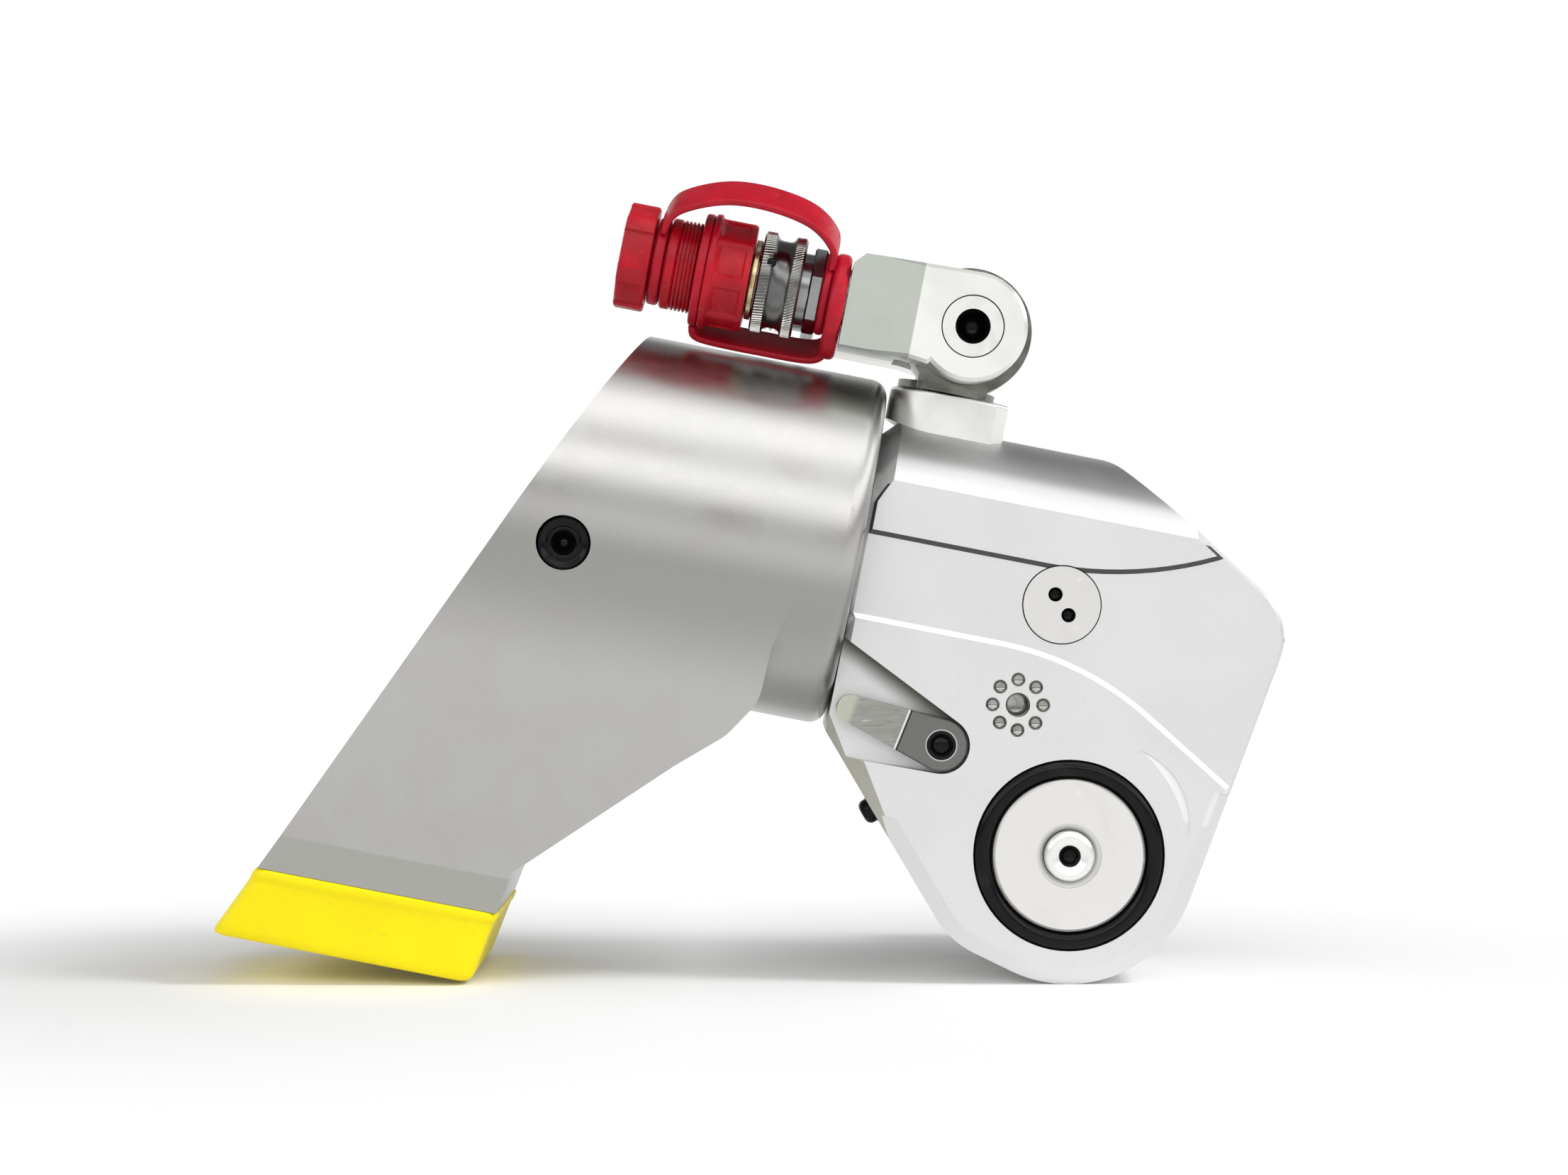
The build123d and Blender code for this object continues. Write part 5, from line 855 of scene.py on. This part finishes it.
def make_straps():
    """Both red straps, each with its ring on the coupler's neck and its ring on a cap."""
    high = (
        strap_band("high_band", HIGH_STRAP, HIGH_STRAP_TURN),
        turned_ring("high_ring", HIGH_RING, RED_STRAP),
        turned_ring("plug_ring", PLUG_RING, RED_STRAP),
    )
    low = (
        strap_band("low_band", LOW_STRAP, LOW_STRAP_TURN),
        turned_ring("low_ring", LOW_RING, RED_STRAP, LOW_RING_DROP),
        turned_ring("cap_ring", CAP_RING, RED_STRAP),
    )
    for name, parts, node, route in (
        ("plug_tether", high, "plug_strap", HIGH_STRAP),
        ("cap_tether", low, "cap_strap", LOW_STRAP),
    ):
        made = join_pieces(name, parts)
        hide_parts(node)
        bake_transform(made)


def boot_ring(w, inset, corner, sag):
    """Rounded outline of the boot at one height, inset from its outer wall, its sides hollow by the sag."""
    rear, front = (place + lean * (w - BOOT_FOOT_W) for place, lean in (BOOT_REAR, BOOT_FRONT))
    rear += inset - BOOT_SKIN
    front += BOOT_SKIN - inset
    corners = rounded_section(front - rear, 2 * (BOOT_HALF - inset), corner, BOOT_CORNER_STEPS)
    in_arc = BOOT_CORNER_STEPS + 1
    ring = []
    for turn in range(4):
        arc = corners[turn * in_arc : (turn + 1) * in_arc]
        ring += arc
        target = corners[(turn + 1) * in_arc % len(corners)]
        angle = pi / 2 * (turn + 1)
        for count in range(1, BOOT_SIDE_STEPS):
            share = count / BOOT_SIDE_STEPS
            hollow = sag * sin(pi * share)
            across = arc[-1][0] + (target[0] - arc[-1][0]) * share - hollow * cos(angle)
            up = arc[-1][1] + (target[1] - arc[-1][1]) * share - hollow * sin(angle)
            ring.append((across, up))
    return [((rear + front) / 2 + u, MIDDLE_Y + y, w) for u, y in ring]


def make_boot():
    """Dipped boot: a soft cup round the foot with a rolled lip and slightly hollow sides."""
    from_sole = (
        (0.0, 3.4, 2.6, 0.0), (0.12, 2.2, 3.0, 0.0), (0.6, 1.1, 3.6, 0.0), (1.5, 0.5, 4.0, 0.05),
        (3.2, 0.38, 4.0, 0.12), (7.0, 0.4, 4.0, 0.3), (11.0, 0.4, 4.0, 0.35),
    )
    under_top = (
        (4.2, 0.4, 4.0, 0.2), (3.1, 0.38, 4.0, 0.08), (2.6, 0.1, 4.1, 0.0), (1.9, 0.0, 4.1, 0.0),
        (0.7, 0.0, 4.1, 0.0), (0.15, 0.25, 4.0, 0.0), (0.0, 0.9, 3.6, 0.0), (0.0, 1.7, 3.0, 0.0),
        (0.5, BOOT_WALL, 2.0, 0.0),
    )
    levels = [(BOOT_SOLE_W + rise, *sizes) for rise, *sizes in from_sole]
    levels += [(BOOT_TOP_W - drop, *sizes) for drop, *sizes in under_top]
    levels.append((BOOT_FOOT_W - 0.1, BOOT_WALL, 2.0, 0.0))
    long, high, depth = BOOT_WAVE
    rings = []
    for w, inset, corner, sag in levels:
        ring = []
        for u, y, height in boot_ring(w, inset, corner, sag):
            if BOOT_SOLE_W + 1 < w < BOOT_TOP_W - 4 and inset < 1:
                wave = noise.noise(Vector((u / long, y / long, height / high))) * depth
                y += wave * (1 if y < MIDDLE_Y else -1)
            ring.append(at(u, y, height))
        rings.append(ring)
    belongs(skinned("boot_cover", rings, YELLOW), "arm", "reaction_boot")


def make_seal_rings():
    """Black rings in the grooves round the drive, on both faces."""
    profile = []
    for count in range(SEAL_STEPS):
        angle = 2 * pi * count / SEAL_STEPS
        flat = 1 - 0.03 * abs(cos(angle)) ** 8
        profile.append((SEAL_SECTION * flat * cos(angle), SEAL_RADIUS + SEAL_SECTION * 0.995 * sin(angle)))
    for name, y in (
        ("near_seal_ring", NEAR_FACE - SEAL_PROUD + SEAL_SECTION),
        ("far_seal_ring", FAR_FACE + SEAL_PROUD - SEAL_SECTION),
    ):
        ring = turned_piece(name, profile, (0.0, y, 0.0), RUBBER, axis="y", steps=160)
        belongs(ring, "housing_body", "drive_seal_rings")


def make_springs():
    """Wire springs between two level points, riding on their bodies."""
    for name, node, start, end, radius, wire, turns, body, joint, keep in SPRINGS:
        low, high = at(*start), at(*end)
        axis = (high - low).normalized()
        side = axis.orthogonal().normalized()
        other = axis.cross(side)
        length = (high - low).length * 1000
        steps = int(turns * 22)
        rings = []
        for count in range(steps + 1):
            share = count / steps
            angle = 2 * pi * turns * share
            flatten = min(1.0, share * turns, (1 - share) * turns)
            rise = wire + (length - 2 * wire) * share
            out = side * cos(angle) + other * sin(angle)
            middle = low + (out * radius + axis * rise) / 1000
            section = [2 * pi * corner / 8 for corner in range(8)]
            rings.append(
                [
                    middle + (out * cos(turn) + axis * sin(turn)) * wire * (0.85 + 0.15 * flatten) / 1000
                    for turn in section
                ]
            )
        spring = skinned(name, rings, WIRE_STEEL)
        belongs(spring, body, node)
        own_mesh(spring)


# Knurls and dimples, grown by geometry trees


def paint_copies(tree, copies, given, result):
    """End a geometry tree: real copies in the metal that it is given."""
    real = step(tree, "GeometryNodeRealizeInstances", copies)
    feed(tree, result[0], step(tree, "GeometryNodeSetMaterial", real, Material=given["Metal"]))
    return tree


def knurl_tree():
    """Ridges of three sides round a circle, each slanted by an angle."""
    sizes = {"Radius": 0.014, "Count": RIDGE_COUNT, "Ridge Length": 0.003}
    sizes |= {"Ridge Height": 0.0004, "Slant": 0.0}
    tree, given, result = node_group("knurled_band", {**sizes, "Metal": None}, kind="GeometryNodeTree")
    circle = step(tree, "GeometryNodeMeshCircle", Vertices=given["Count"], Radius=given["Radius"])
    ridge = {"Vertices": 3, "Radius": given["Ridge Height"], "Depth": given["Ridge Length"]}
    ridge = step(tree, "GeometryNodeMeshCylinder", **ridge)
    spot = step(tree, "GeometryNodeInputPosition")
    facing = {"axis": "X", "pivot_axis": "Z"}
    outward = step(tree, "FunctionNodeAlignRotationToVector", settings=facing, Vector=spot)
    angle = step(tree, "FunctionNodeAxisAngleToRotation", Axis=(1.0, 0.0, 0.0), Angle=given["Slant"])
    slant = shade(tree, "FunctionNodeRotateRotation", {"rotation_space": "LOCAL"})
    feed(tree, slant.inputs[0], outward)
    feed(tree, slant.inputs[1], angle)
    copies = step(tree, "GeometryNodeInstanceOnPoints", circle, Instance=ridge, Rotation=slant.outputs[0])
    return paint_copies(tree, copies, given, result)


def dimple_tree():
    """Shallow cups round a circle, their mouths level with it."""
    sizes = {"Circle": 0.007, "Count": 8, "Ball": 0.00205, "Cup Depth": 0.00135}
    tree, given, result = node_group("dimple_cups", {**sizes, "Metal": None}, kind="GeometryNodeTree")
    circle = step(tree, "GeometryNodeMeshCircle", Vertices=given["Count"], Radius=given["Circle"])
    ball = step(tree, "GeometryNodeMeshUVSphere", Segments=32, Rings=32, Radius=given["Ball"])
    reach = maths(tree, "SUBTRACT", given["Ball"], given["Cup Depth"])
    spot = step(tree, "GeometryNodeInputPosition")
    height = shade(tree, "ShaderNodeSeparateXYZ", Vector=spot).outputs["Z"]
    over = maths(tree, "GREATER_THAN", height, maths(tree, "MULTIPLY", reach, -1.0))
    cup = step(tree, "GeometryNodeDeleteGeometry", ball, Selection=over)
    lift = step(tree, "ShaderNodeCombineXYZ", Z=reach)
    lifted = step(tree, "GeometryNodeTransform", cup, Translation=lift)
    facing = step(tree, "GeometryNodeFlipFaces", lifted)
    smooth = step(tree, "GeometryNodeSetShadeSmooth", facing)
    copies = step(tree, "GeometryNodeInstanceOnPoints", circle, Instance=smooth)
    return paint_copies(tree, copies, given, result)


def grown(name, tree, settings, wall=None):
    """Mesh that a geometry tree makes with these inputs; a wall thickens its open faces behind."""
    seed = bpy.data.objects.new(name, bpy.data.meshes.new(name))
    bpy.context.scene.collection.objects.link(seed)
    grower = seed.modifiers.new("grow", "NODES")
    grower.node_group = tree
    for item in tree.interface.items_tree:
        if item.in_out == "INPUT" and item.name in settings:
            grower[item.identifier] = settings[item.name]
    if wall:
        seed.modifiers.new("wall", "SOLIDIFY").thickness = wall
    dependencies = bpy.context.evaluated_depsgraph_get()
    mesh = bpy.data.meshes.new_from_object(seed.evaluated_get(dependencies))
    bpy.data.objects.remove(seed)
    made = bpy.data.objects.new(name, mesh)
    bpy.context.scene.collection.objects.link(made)
    return made


def make_sleeve():
    """Coupler sleeve: a smooth waist between two knurled bands."""
    waist_left, waist_right = SLEEVE_LEFT + BAND_ONE, SLEEVE_RIGHT - BAND_TWO
    crest = KNURL_RADIUS - SLEEVE_EDGE
    profile = [
        (SLEEVE_LEFT, SLEEVE_BORE), (SLEEVE_LEFT, crest), (SLEEVE_LEFT + SLEEVE_EDGE, KNURL_RADIUS),
        (waist_left - SLEEVE_EDGE, KNURL_RADIUS), (waist_left, crest),
    ]
    for count in range(9):
        share = count / 8
        hollow = WAIST_RADIUS + 0.7 * (2 * share - 1) ** 4
        profile.append((waist_left + (waist_right - waist_left) * share, hollow))
    profile += [
        (waist_right, crest), (waist_right + SLEEVE_EDGE, KNURL_RADIUS),
        (SLEEVE_RIGHT - SLEEVE_EDGE, KNURL_RADIUS), (SLEEVE_RIGHT, crest), (SLEEVE_RIGHT, SLEEVE_BORE),
    ]
    sleeve = turned_piece("sleeve_body", profile, COUPLER_MIDDLE, SLEEVE_STEEL)
    sleeve.data.polygons.foreach_set("use_smooth", [False] * len(sleeve.data.polygons))
    sleeve.data.set_sharp_from_angle(angle=radians(30))
    belongs(sleeve, "sleeve", "coupler_sleeve")
    tree = knurl_tree()
    to_axis = Matrix.Rotation(LEAN, 4, "Y") @ Matrix.Rotation(pi / 2, 4, "Y")
    for name, u, length, slant in KNURLS:
        settings = {
            "Radius": (KNURL_RADIUS - 0.05) / 1000,
            "Count": RIDGE_COUNT,
            "Ridge Length": length / 1000,
            "Ridge Height": RIDGE_HEIGHT / 1000,
            "Slant": radians(slant),
            "Metal": KNURL_STEEL,
        }
        ridges = grown(name, tree, settings)
        ridges.data.transform(Matrix.Translation(at(u, COUPLER_Y, COUPLER_W)) @ to_axis)
        belongs(ridges, "sleeve")


def make_sleeve_hole():
    """Small hole in the sleeve, between its left band and its waist, lined black as painted shade."""
    u, rise, radius = SLEEVE_HOLE
    reach = (KNURL_RADIUS**2 - rise**2) ** 0.5
    section = ((-0.45, 0.0), (-0.4, 0.8 * radius), (-0.2, radius), (3, radius), (3, 0.0))
    section = [(-reach + depth, width) for depth, width in section]
    centre = (u, COUPLER_Y, COUPLER_W + rise)
    hole = turned_piece("sleeve_hole", section, centre, HOLE_PAINTED_SHADE, axis="y", steps=40)
    belongs(hole, "sleeve")


def make_brass_seat():
    """Brass ring at the coupler's nose, beside the sleeve."""
    seat = turned_ring("brass_seat", BRASS_SEAT, BRASS)
    belongs(seat, "coupler_block")


# Caps


def make_dust_cap():
    """Cap with a bright rim, flats and shallow panels, tapped at the left and closed towards the coupler."""
    left, right = CAP_LEFT, CAP_RIGHT
    rim_end = left + 2.0
    skirt = (right - 0.9, right - 1.6, right - 2.1, right - 5.5, rim_end + 1.3, rim_end + 0.8)
    profile = [
        (right + 4.0, 0.0), (right + 4.0, 6.7), (right + 3.5, 7.2), (right, 7.2),
        (right, CAP_RADIUS - 0.6), (right - 0.3, CAP_RADIUS - 0.2),
        *((place, CAP_RADIUS) for place in skirt),
        (rim_end + 0.1, CAP_RADIUS + 0.1), (rim_end, CAP_RADIUS + 0.6), (rim_end - 0.4, CAP_RIM_RADIUS),
        (left + 0.5, CAP_RIM_RADIUS), (left, CAP_RIM_RADIUS - 0.5), (left, CAP_MOUTH),
        (right - 2.0, CAP_MOUTH), (right - 2.0, 0.0),
    ]

    def panels(along, radius, angle):
        """Radius with the cap's flats, and sunk where a panel is."""
        if radius < CAP_RADIUS - 0.3 or radius > CAP_RADIUS + 0.05:
            return radius
        turn = (angle / (2 * pi) * CAP_PANELS + 0.3) % 1.0
        flat = CAP_FLAT * (1 - (2 * turn - 1) ** 2)
        sunk = right - 2.0 >= along >= rim_end + 1.2 and 0.14 < turn < 0.86
        return radius - flat - (PANEL_DEPTH if sunk else 0.0)

    cap = turned_piece("cap_cup", profile, COUPLER_MIDDLE, RED_PLASTIC, steps=200, swell=panels, sharp=32)
    belongs(cap, "dust_cap_body", "dust_cap")


def make_dust_plug():
    """Plug with fine thread ribs, a neck for its strap and a lugged knob."""
    left, right = KNOB_LEFT, KNOB_RIGHT
    profile = [
        (-121.9, 0.0), (-121.9, 11.0), (-122.6, 11.6),
        (CAP_LEFT + 0.2, 11.6), (CAP_LEFT - 0.2, 11.9), (-132.8, 11.9),
    ]
    rib = ((0.0, 0.7), (0.15, 0.1), (0.45, 0.0), (0.7, 0.1), (0.85, 0.7))
    for count in range(5):
        start = THREAD_START - THREAD_PITCH * count
        profile += [(start - along, THREAD_RADIUS - depth) for along, depth in rib]
    profile += [
        (-138.7, THREAD_RADIUS - 0.3), (-138.9, THREAD_RADIUS), (THREAD_LEFT + 0.5, THREAD_RADIUS),
        (THREAD_LEFT, THREAD_RADIUS - 0.5), (THREAD_LEFT, 9.0), (right, 9.0),
        (right, KNOB_RADIUS - 0.8), (right - 0.25, KNOB_RADIUS - 0.25), (right - 0.8, KNOB_RADIUS),
        ((left + right) / 2, KNOB_RADIUS),
        (left + 0.8, KNOB_RADIUS), (left + 0.25, KNOB_RADIUS - 0.25), (left, KNOB_RADIUS - 0.8),
        (left, 9.6), (left + 5.5, 9.4), (left + 5.5, 0.0),
    ]

    def lugs(along, radius, angle):
        """Radius of the knob with its lugs, and hollows between them."""
        if radius < KNOB_RADIUS - 0.9 or along > right + 0.01:
            return radius
        turn = (angle / (2 * pi) * KNOB_LUGS + 0.1) % 1.0
        if turn < LUG_SHARE:
            return radius + KNOB_LUG_RADIUS - KNOB_RADIUS
        return radius - 0.5 * sin(pi * (turn - LUG_SHARE) / (1 - LUG_SHARE))

    plug = turned_piece("plug_knob", profile, COUPLER_MIDDLE, RED_PLASTIC, steps=216, swell=lugs, sharp=32)
    belongs(plug, "dust_plug_body", "dust_plug")


# Round details of the faces


def make_face_rings():
    """Black joint rings round the access plugs, and black liners in their spanner holes as painted shade."""
    u, w, radius = ACCESS_PLUG
    groove = ((1.0, 0.02), (1.0, 0.33), (2.6, 0.33), (2.6, 0.02))
    floor = ((2.9, 1.7), (3.3, 1.1), (3.4, 0.0), (3.55, 0.0))
    cup = ((0.63, 1.94), (0.8, 1.88), *floor, (3.55, 1.97), (0.63, 1.97))
    for side, face, inward in FACES:
        profile = [(depth * inward, radius + gap) for depth, gap in groove]
        ring = turned_piece(side + "_plug_joint", profile, (u, face, w), RUBBER, axis="y")
        belongs(ring, "housing_body")
        for number, (hole_u, hole_w) in enumerate(ACCESS_PIN_HOLES, 1):
            profile = [(depth * inward, hole) for depth, hole in cup]
            name = f"{side}_plug_hole_{number}"
            liner = turned_piece(name, profile, (hole_u, face, hole_w), HOLE_PAINTED_SHADE, axis="y", steps=40)
            belongs(liner, "housing_body")


def make_pin_joint():
    """Black joint ring round the swivel pin, and a black liner in its bore as painted shade."""
    u, w, radius = SWIVEL_PIN
    end = (u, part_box("swivel_pin")[0].y * 1000, w)
    groove = [(0.04, radius - 0.19), (0.04, radius + 0.17), (1.6, radius + 0.17), (1.6, radius - 0.19)]
    bore = [(0.02, 4.88), (0.3, 4.7), (1.5, 4.35), (3.0, 3.75), (8.2, 3.7)]
    bore += [(8.3, 0.0), (8.6, 0.0), (8.6, 4.88)]
    ring = turned_piece("pin_joint", groove, end, RUBBER, axis="y")
    # The black liner stands for the shade inside the bore: painted shade
    liner = turned_piece("pin_bore_shade", bore, end, BLACK_BUTTON, axis="y", steps=64)
    belongs(ring, "coupler_block")
    belongs(liner, "coupler_block")


def make_lock_button():
    """Arm lock: a black rim, a raised ring and a deep bowl, on the stem that reaches the housing's stub."""
    u, w = LOCK_BUTTON
    low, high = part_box("arm_lock_button")
    front, end = low.y * 1000, (high.y - low.y) * 1000
    waist_start, waist_end = (place - front for place in LOCK_WAIST[:2])
    waist = LOCK_WAIST[2]
    bowl = [(2.2, 0.0), (2.3, 0.7), (2.8, 1.4), (3.4, 2.2), (2.7, 2.8), (1.3, 3.15), (0.6, 3.45), (0.35, 3.9)]
    raised_ring = [(0.42, 4.3), (0.8, 4.7), (1.0, 5.1), (0.8, 5.6), (0.3, 6.1)]
    rim = [(0.05, 6.45), (0.0, 6.65), (0.12, 6.9), (0.5, 7.1), (1.2, 7.2), (7.0, 7.2)]
    stem = [
        (7.0, LOCK_STEM), (waist_start, LOCK_STEM), (waist_start, waist),
        (waist_end, waist), (waist_end, LOCK_STEM), (end, LOCK_STEM), (end, 0.0),
    ]
    profile = bowl + raised_ring + rim + stem
    button = turned_piece("lock_bowl", profile, (u, front, w), BLACK_BUTTON, axis="y", steps=96, sharp=50)
    belongs(button, "arm_lock", "arm_lock_button")


def make_lever_screw():
    """Black screw in the lever's pivot: a raised ring round a polished dome."""
    u, w = LEVER_PIVOT
    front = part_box("lever_screw")[0].y * 1000
    dome = [(0.35, 0.0), (0.4, 0.9), (0.62, 1.8), (1.0, 2.5), (1.3, 2.75), (1.3, 2.95)]
    raised_ring = [(0.35, 3.1), (0.08, 3.3), (0.0, 3.6), (0.15, 3.95), (0.45, 4.08), (1.7, 4.08)]
    shank = [(1.7, 2.45), (9.3, 2.45), (9.3, 0.0)]
    profile = dome + raised_ring + shank
    screw = turned_piece("lever_pivot_screw", profile, (u, front, w), BLACK_BUTTON, axis="y", steps=96)
    belongs(screw, "release", "lever_screw")


def make_retainer_button():
    """Retainer button: a rounded rim that falls into a bowl with a hole lined black as painted shade, and its
    ball groove behind.
    """
    low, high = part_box("retainer_button")
    ball_low, ball_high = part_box("retainer_balls")
    centre = (0.0, low.y * 1000, 0.0)
    length = (high.y - low.y) * 1000
    groove_length, past_balls, groove_radius = BALL_GROOVE
    groove_end = (ball_low.y + ball_high.y) * 500 - past_balls - low.y * 1000
    bowl = [(3.9, 0.0), (3.9, 2.8), (1.35, 2.85), (1.05, 3.05), (0.75, 3.6), (0.45, 4.4), (0.1, 5.0)]
    rim = [(0.0, 5.35), (0.1, 5.8), (0.45, 6.35), (1.0, 6.8), (1.8, 7.0)]
    stem = [
        (groove_end - groove_length, 7.0), (groove_end - groove_length, groove_radius),
        (groove_end, groove_radius), (groove_end, 7.0), (length, 7.0), (length, 0.0),
    ]
    button = turned_piece("retainer_bowl", bowl + rim + stem, centre, PIN_SILVER, axis="y", sharp=40)
    belongs(button, "retainer_push", "retainer_button")
    hole = [(1.1, 2.78), (3.88, 2.7), (3.88, 0.0), (3.6, 0.0), (3.6, 2.3), (1.1, 2.7)]
    liner = turned_piece("button_hole", hole, centre, HOLE_PAINTED_SHADE, axis="y", steps=48)
    belongs(liner, "retainer_push")


def make_handle_dimples():
    """Polished dents round the handle's hole and its dark liner, on both faces."""
    tree = dimple_tree()
    u, w = HANDLE_HOLE
    rim = ((0.02, 3.37), (0.5, 3.25), (2.6, 3.1), (7.9, 3.05), (8.2, 2.2), (8.3, 0.0))
    section = (*rim, (8.45, 0.0), (8.45, 3.38), (0.02, 3.38))
    for side, face, inward in FACES:
        settings = {"Circle": DIMPLE_CIRCLE / 1000, "Metal": DIMPLE_CHROME}
        dents = grown(side + "_dimples", tree, settings, wall=0.00002)
        turn = Matrix.Rotation(radians(DIMPLE_TURN * inward), 4, "Z")
        upright = Matrix.Rotation(inward * pi / 2, 4, "X")
        lean = Matrix.Rotation(LEAN, 4, "Y")
        place = Matrix.Translation(at(u, face + 0.03 * inward, w))
        dents.data.transform(place @ lean @ (upright @ turn))
        profile = [(depth * inward, radius) for depth, radius in section]
        liner = turned_piece(side + "_handle_hole", profile, (u, face, w), DIMPLE_CHROME, axis="y", steps=64)
        for made in (dents, liner):
            belongs(made, "housing_body")


# Stage


def seen_rays(tree):
    """1 on the rays that show the background itself, in the picture or mirrored."""
    path = shade(tree, "ShaderNodeLightPath").outputs
    seen = maths(tree, "ADD", path["Is Camera Ray"], path["Is Glossy Ray"])
    return maths(tree, "MINIMUM", maths(tree, "ADD", seen, path["Is Transmission Ray"]), 1.0)


def make_floor():
    """White paper floor that keeps the shadow, fading to the background away from the feet."""
    constants = {"Roughness": 0.95, "Specular_IOR_Level": 0.1, "Emission_Color": WHITE}
    material, tree, skin = finish_of("floor_paper", **constants)
    seen = seen_rays(tree)
    from_feet = [
        vector_maths(tree, "LENGTH", surface_places(tree, centre=foot), output="Value")
        for foot in (NOSE_FOOT, BOOT_FOOT)
    ]
    away = maths(tree, "MINIMUM", *from_feet)
    far = maths(tree, "MULTIPLY", between(tree, away, *FLOOR_FADE), seen)
    grain = use_effect(tree, "blasted_grain", Grain_Scale=900.0, Cloud_Scale=3.0)
    paper = blend_colour(tree, grain["Clouds"], [FLOOR_PAPER - 0.01] * 3, [FLOOR_PAPER + 0.01] * 3)
    feed(tree, skin["Base Color"], tint(tree, paper, far, BLACK[:3]))
    near = maths(tree, "MULTIPLY", seen, FLOOR_LIFT)
    feed(tree, skin["Emission Strength"], maths(tree, "MAXIMUM", far, near))
    sides = ((-1, -1), (1, -1), (1, 1), (-1, 1))
    corners = [(x * FLOOR_SIZE, y * FLOOR_SIZE, cad_low.z) for x, y in sides]
    piece("floor", corners, [(0, 1, 2, 3)], material)


def make_sky():
    """White background with a dim fill light."""
    world = bpy.data.worlds.new("studio")
    bpy.context.scene.world = world
    world.use_nodes = True
    tree = world.node_tree
    tree.nodes.clear()
    tone = blend_colour(tree, seen_rays(tree), [SKY_FILL] * 3, WHITE[:3])
    sky = step(tree, "ShaderNodeBackground", Color=tone, Strength=1.0)
    shade(tree, "ShaderNodeOutputWorld", Surface=sky)


def make_card(name, points, faces, finish, strengths):
    """Lit card out of the camera's sight; (height, strength) pairs are eased from each to the next."""
    constants = {"Roughness": 1.0, "Specular_IOR_Level": 0.0, "Base_Color": BLACK, "Emission_Color": WHITE}
    material, tree, skin = finish_of(finish, **constants)
    strength = strengths[0][1]
    if len(strengths) > 1:
        height = shade(tree, "ShaderNodeSeparateXYZ", Vector=object_places(tree)).outputs["Z"]
        for (low, before), (high, after) in zip(strengths, strengths[1:]):
            strength = maths(tree, "ADD", strength, between(tree, height, low, high, 0.0, after - before))
    feed(tree, skin["Emission Strength"], strength)
    made = piece(name, points, faces, material)
    made.visible_camera = False
    made.visible_shadow = False


def make_cards():
    """Grey wall round the front, and a dark board above and behind, which shade the metal."""
    wall = []
    for count in range(WALL_STEPS + 1):
        angle = radians(-90 - WALL_REACH + 2 * WALL_REACH * count / WALL_STEPS)
        x, y = WALL_RADIUS * cos(angle), WALL_RADIUS * sin(angle)
        wall += [(x, y, cad_low.z), (x, y, WALL_TOP)]
    faces = [(2 * count, 2 * count + 2, 2 * count + 3, 2 * count + 1) for count in range(WALL_STEPS)]
    make_card("front_wall", wall, faces, "wall_grey", WALL_LIGHT)
    left, right, front, back, height = BOARD
    board = [(left, front, height), (right, front, height), (right, back, height), (left, back, height)]
    make_card("dark_board", board, [(0, 1, 2, 3)], "board_grey", ((height, BOARD_LIGHT),))


def soft_light(name, place, size, radiance, mirrored=True):
    """Rectangular soft light at a place, aimed at the tool, as bright as a card of this strength."""
    lamp = bpy.data.lights.new(name, "AREA")
    lamp.shape = "RECTANGLE"
    lamp.size, lamp.size_y = size
    lamp.energy = radiance * pi * size[0] * size[1]
    made = bpy.data.objects.new(name, lamp)
    made.location = place
    made.rotation_mode = "QUATERNION"
    made.rotation_quaternion = (Vector(LIGHTS_AIM) - Vector(place)).to_track_quat("-Z", "Y")
    made.visible_glossy = mirrored
    bpy.context.scene.collection.objects.link(made)


def make_lights():
    """Soft light overhead, and a smaller one from the upper right that casts the shadows."""
    soft_light("overhead", OVERHEAD_AT, OVERHEAD_SIZE, OVERHEAD_LIGHT)
    soft_light("key", KEY_AT, KEY_SIZE, KEY_LIGHT, mirrored=False)


def make_camera():
    """Long lens in front of the tool, a little above its feet."""
    camera = bpy.data.cameras.new("photo_view")
    camera.lens = CAMERA_LENS
    camera.sensor_width = 36.0
    camera.clip_start = 0.01
    made = bpy.data.objects.new("photo_view", camera)
    made.location = CAMERA_AT
    made.rotation_euler = (radians(90.0 + CAMERA_PITCH), 0.0, radians(-CAMERA_YAW))
    bpy.context.scene.collection.objects.link(made)
    bpy.context.scene.camera = made


dress_cad_nodes()
make_boot()
make_straps()
make_seal_rings()
make_springs()
make_sleeve()
make_sleeve_hole()
make_dust_cap()
make_dust_plug()
make_brass_seat()
make_face_rings()
make_pin_joint()
make_lock_button()
make_lever_screw()
make_retainer_button()
make_handle_dimples()
make_floor()
make_sky()
make_cards()
make_lights()
make_camera()
bpy.context.scene.view_settings.view_transform = "Standard"
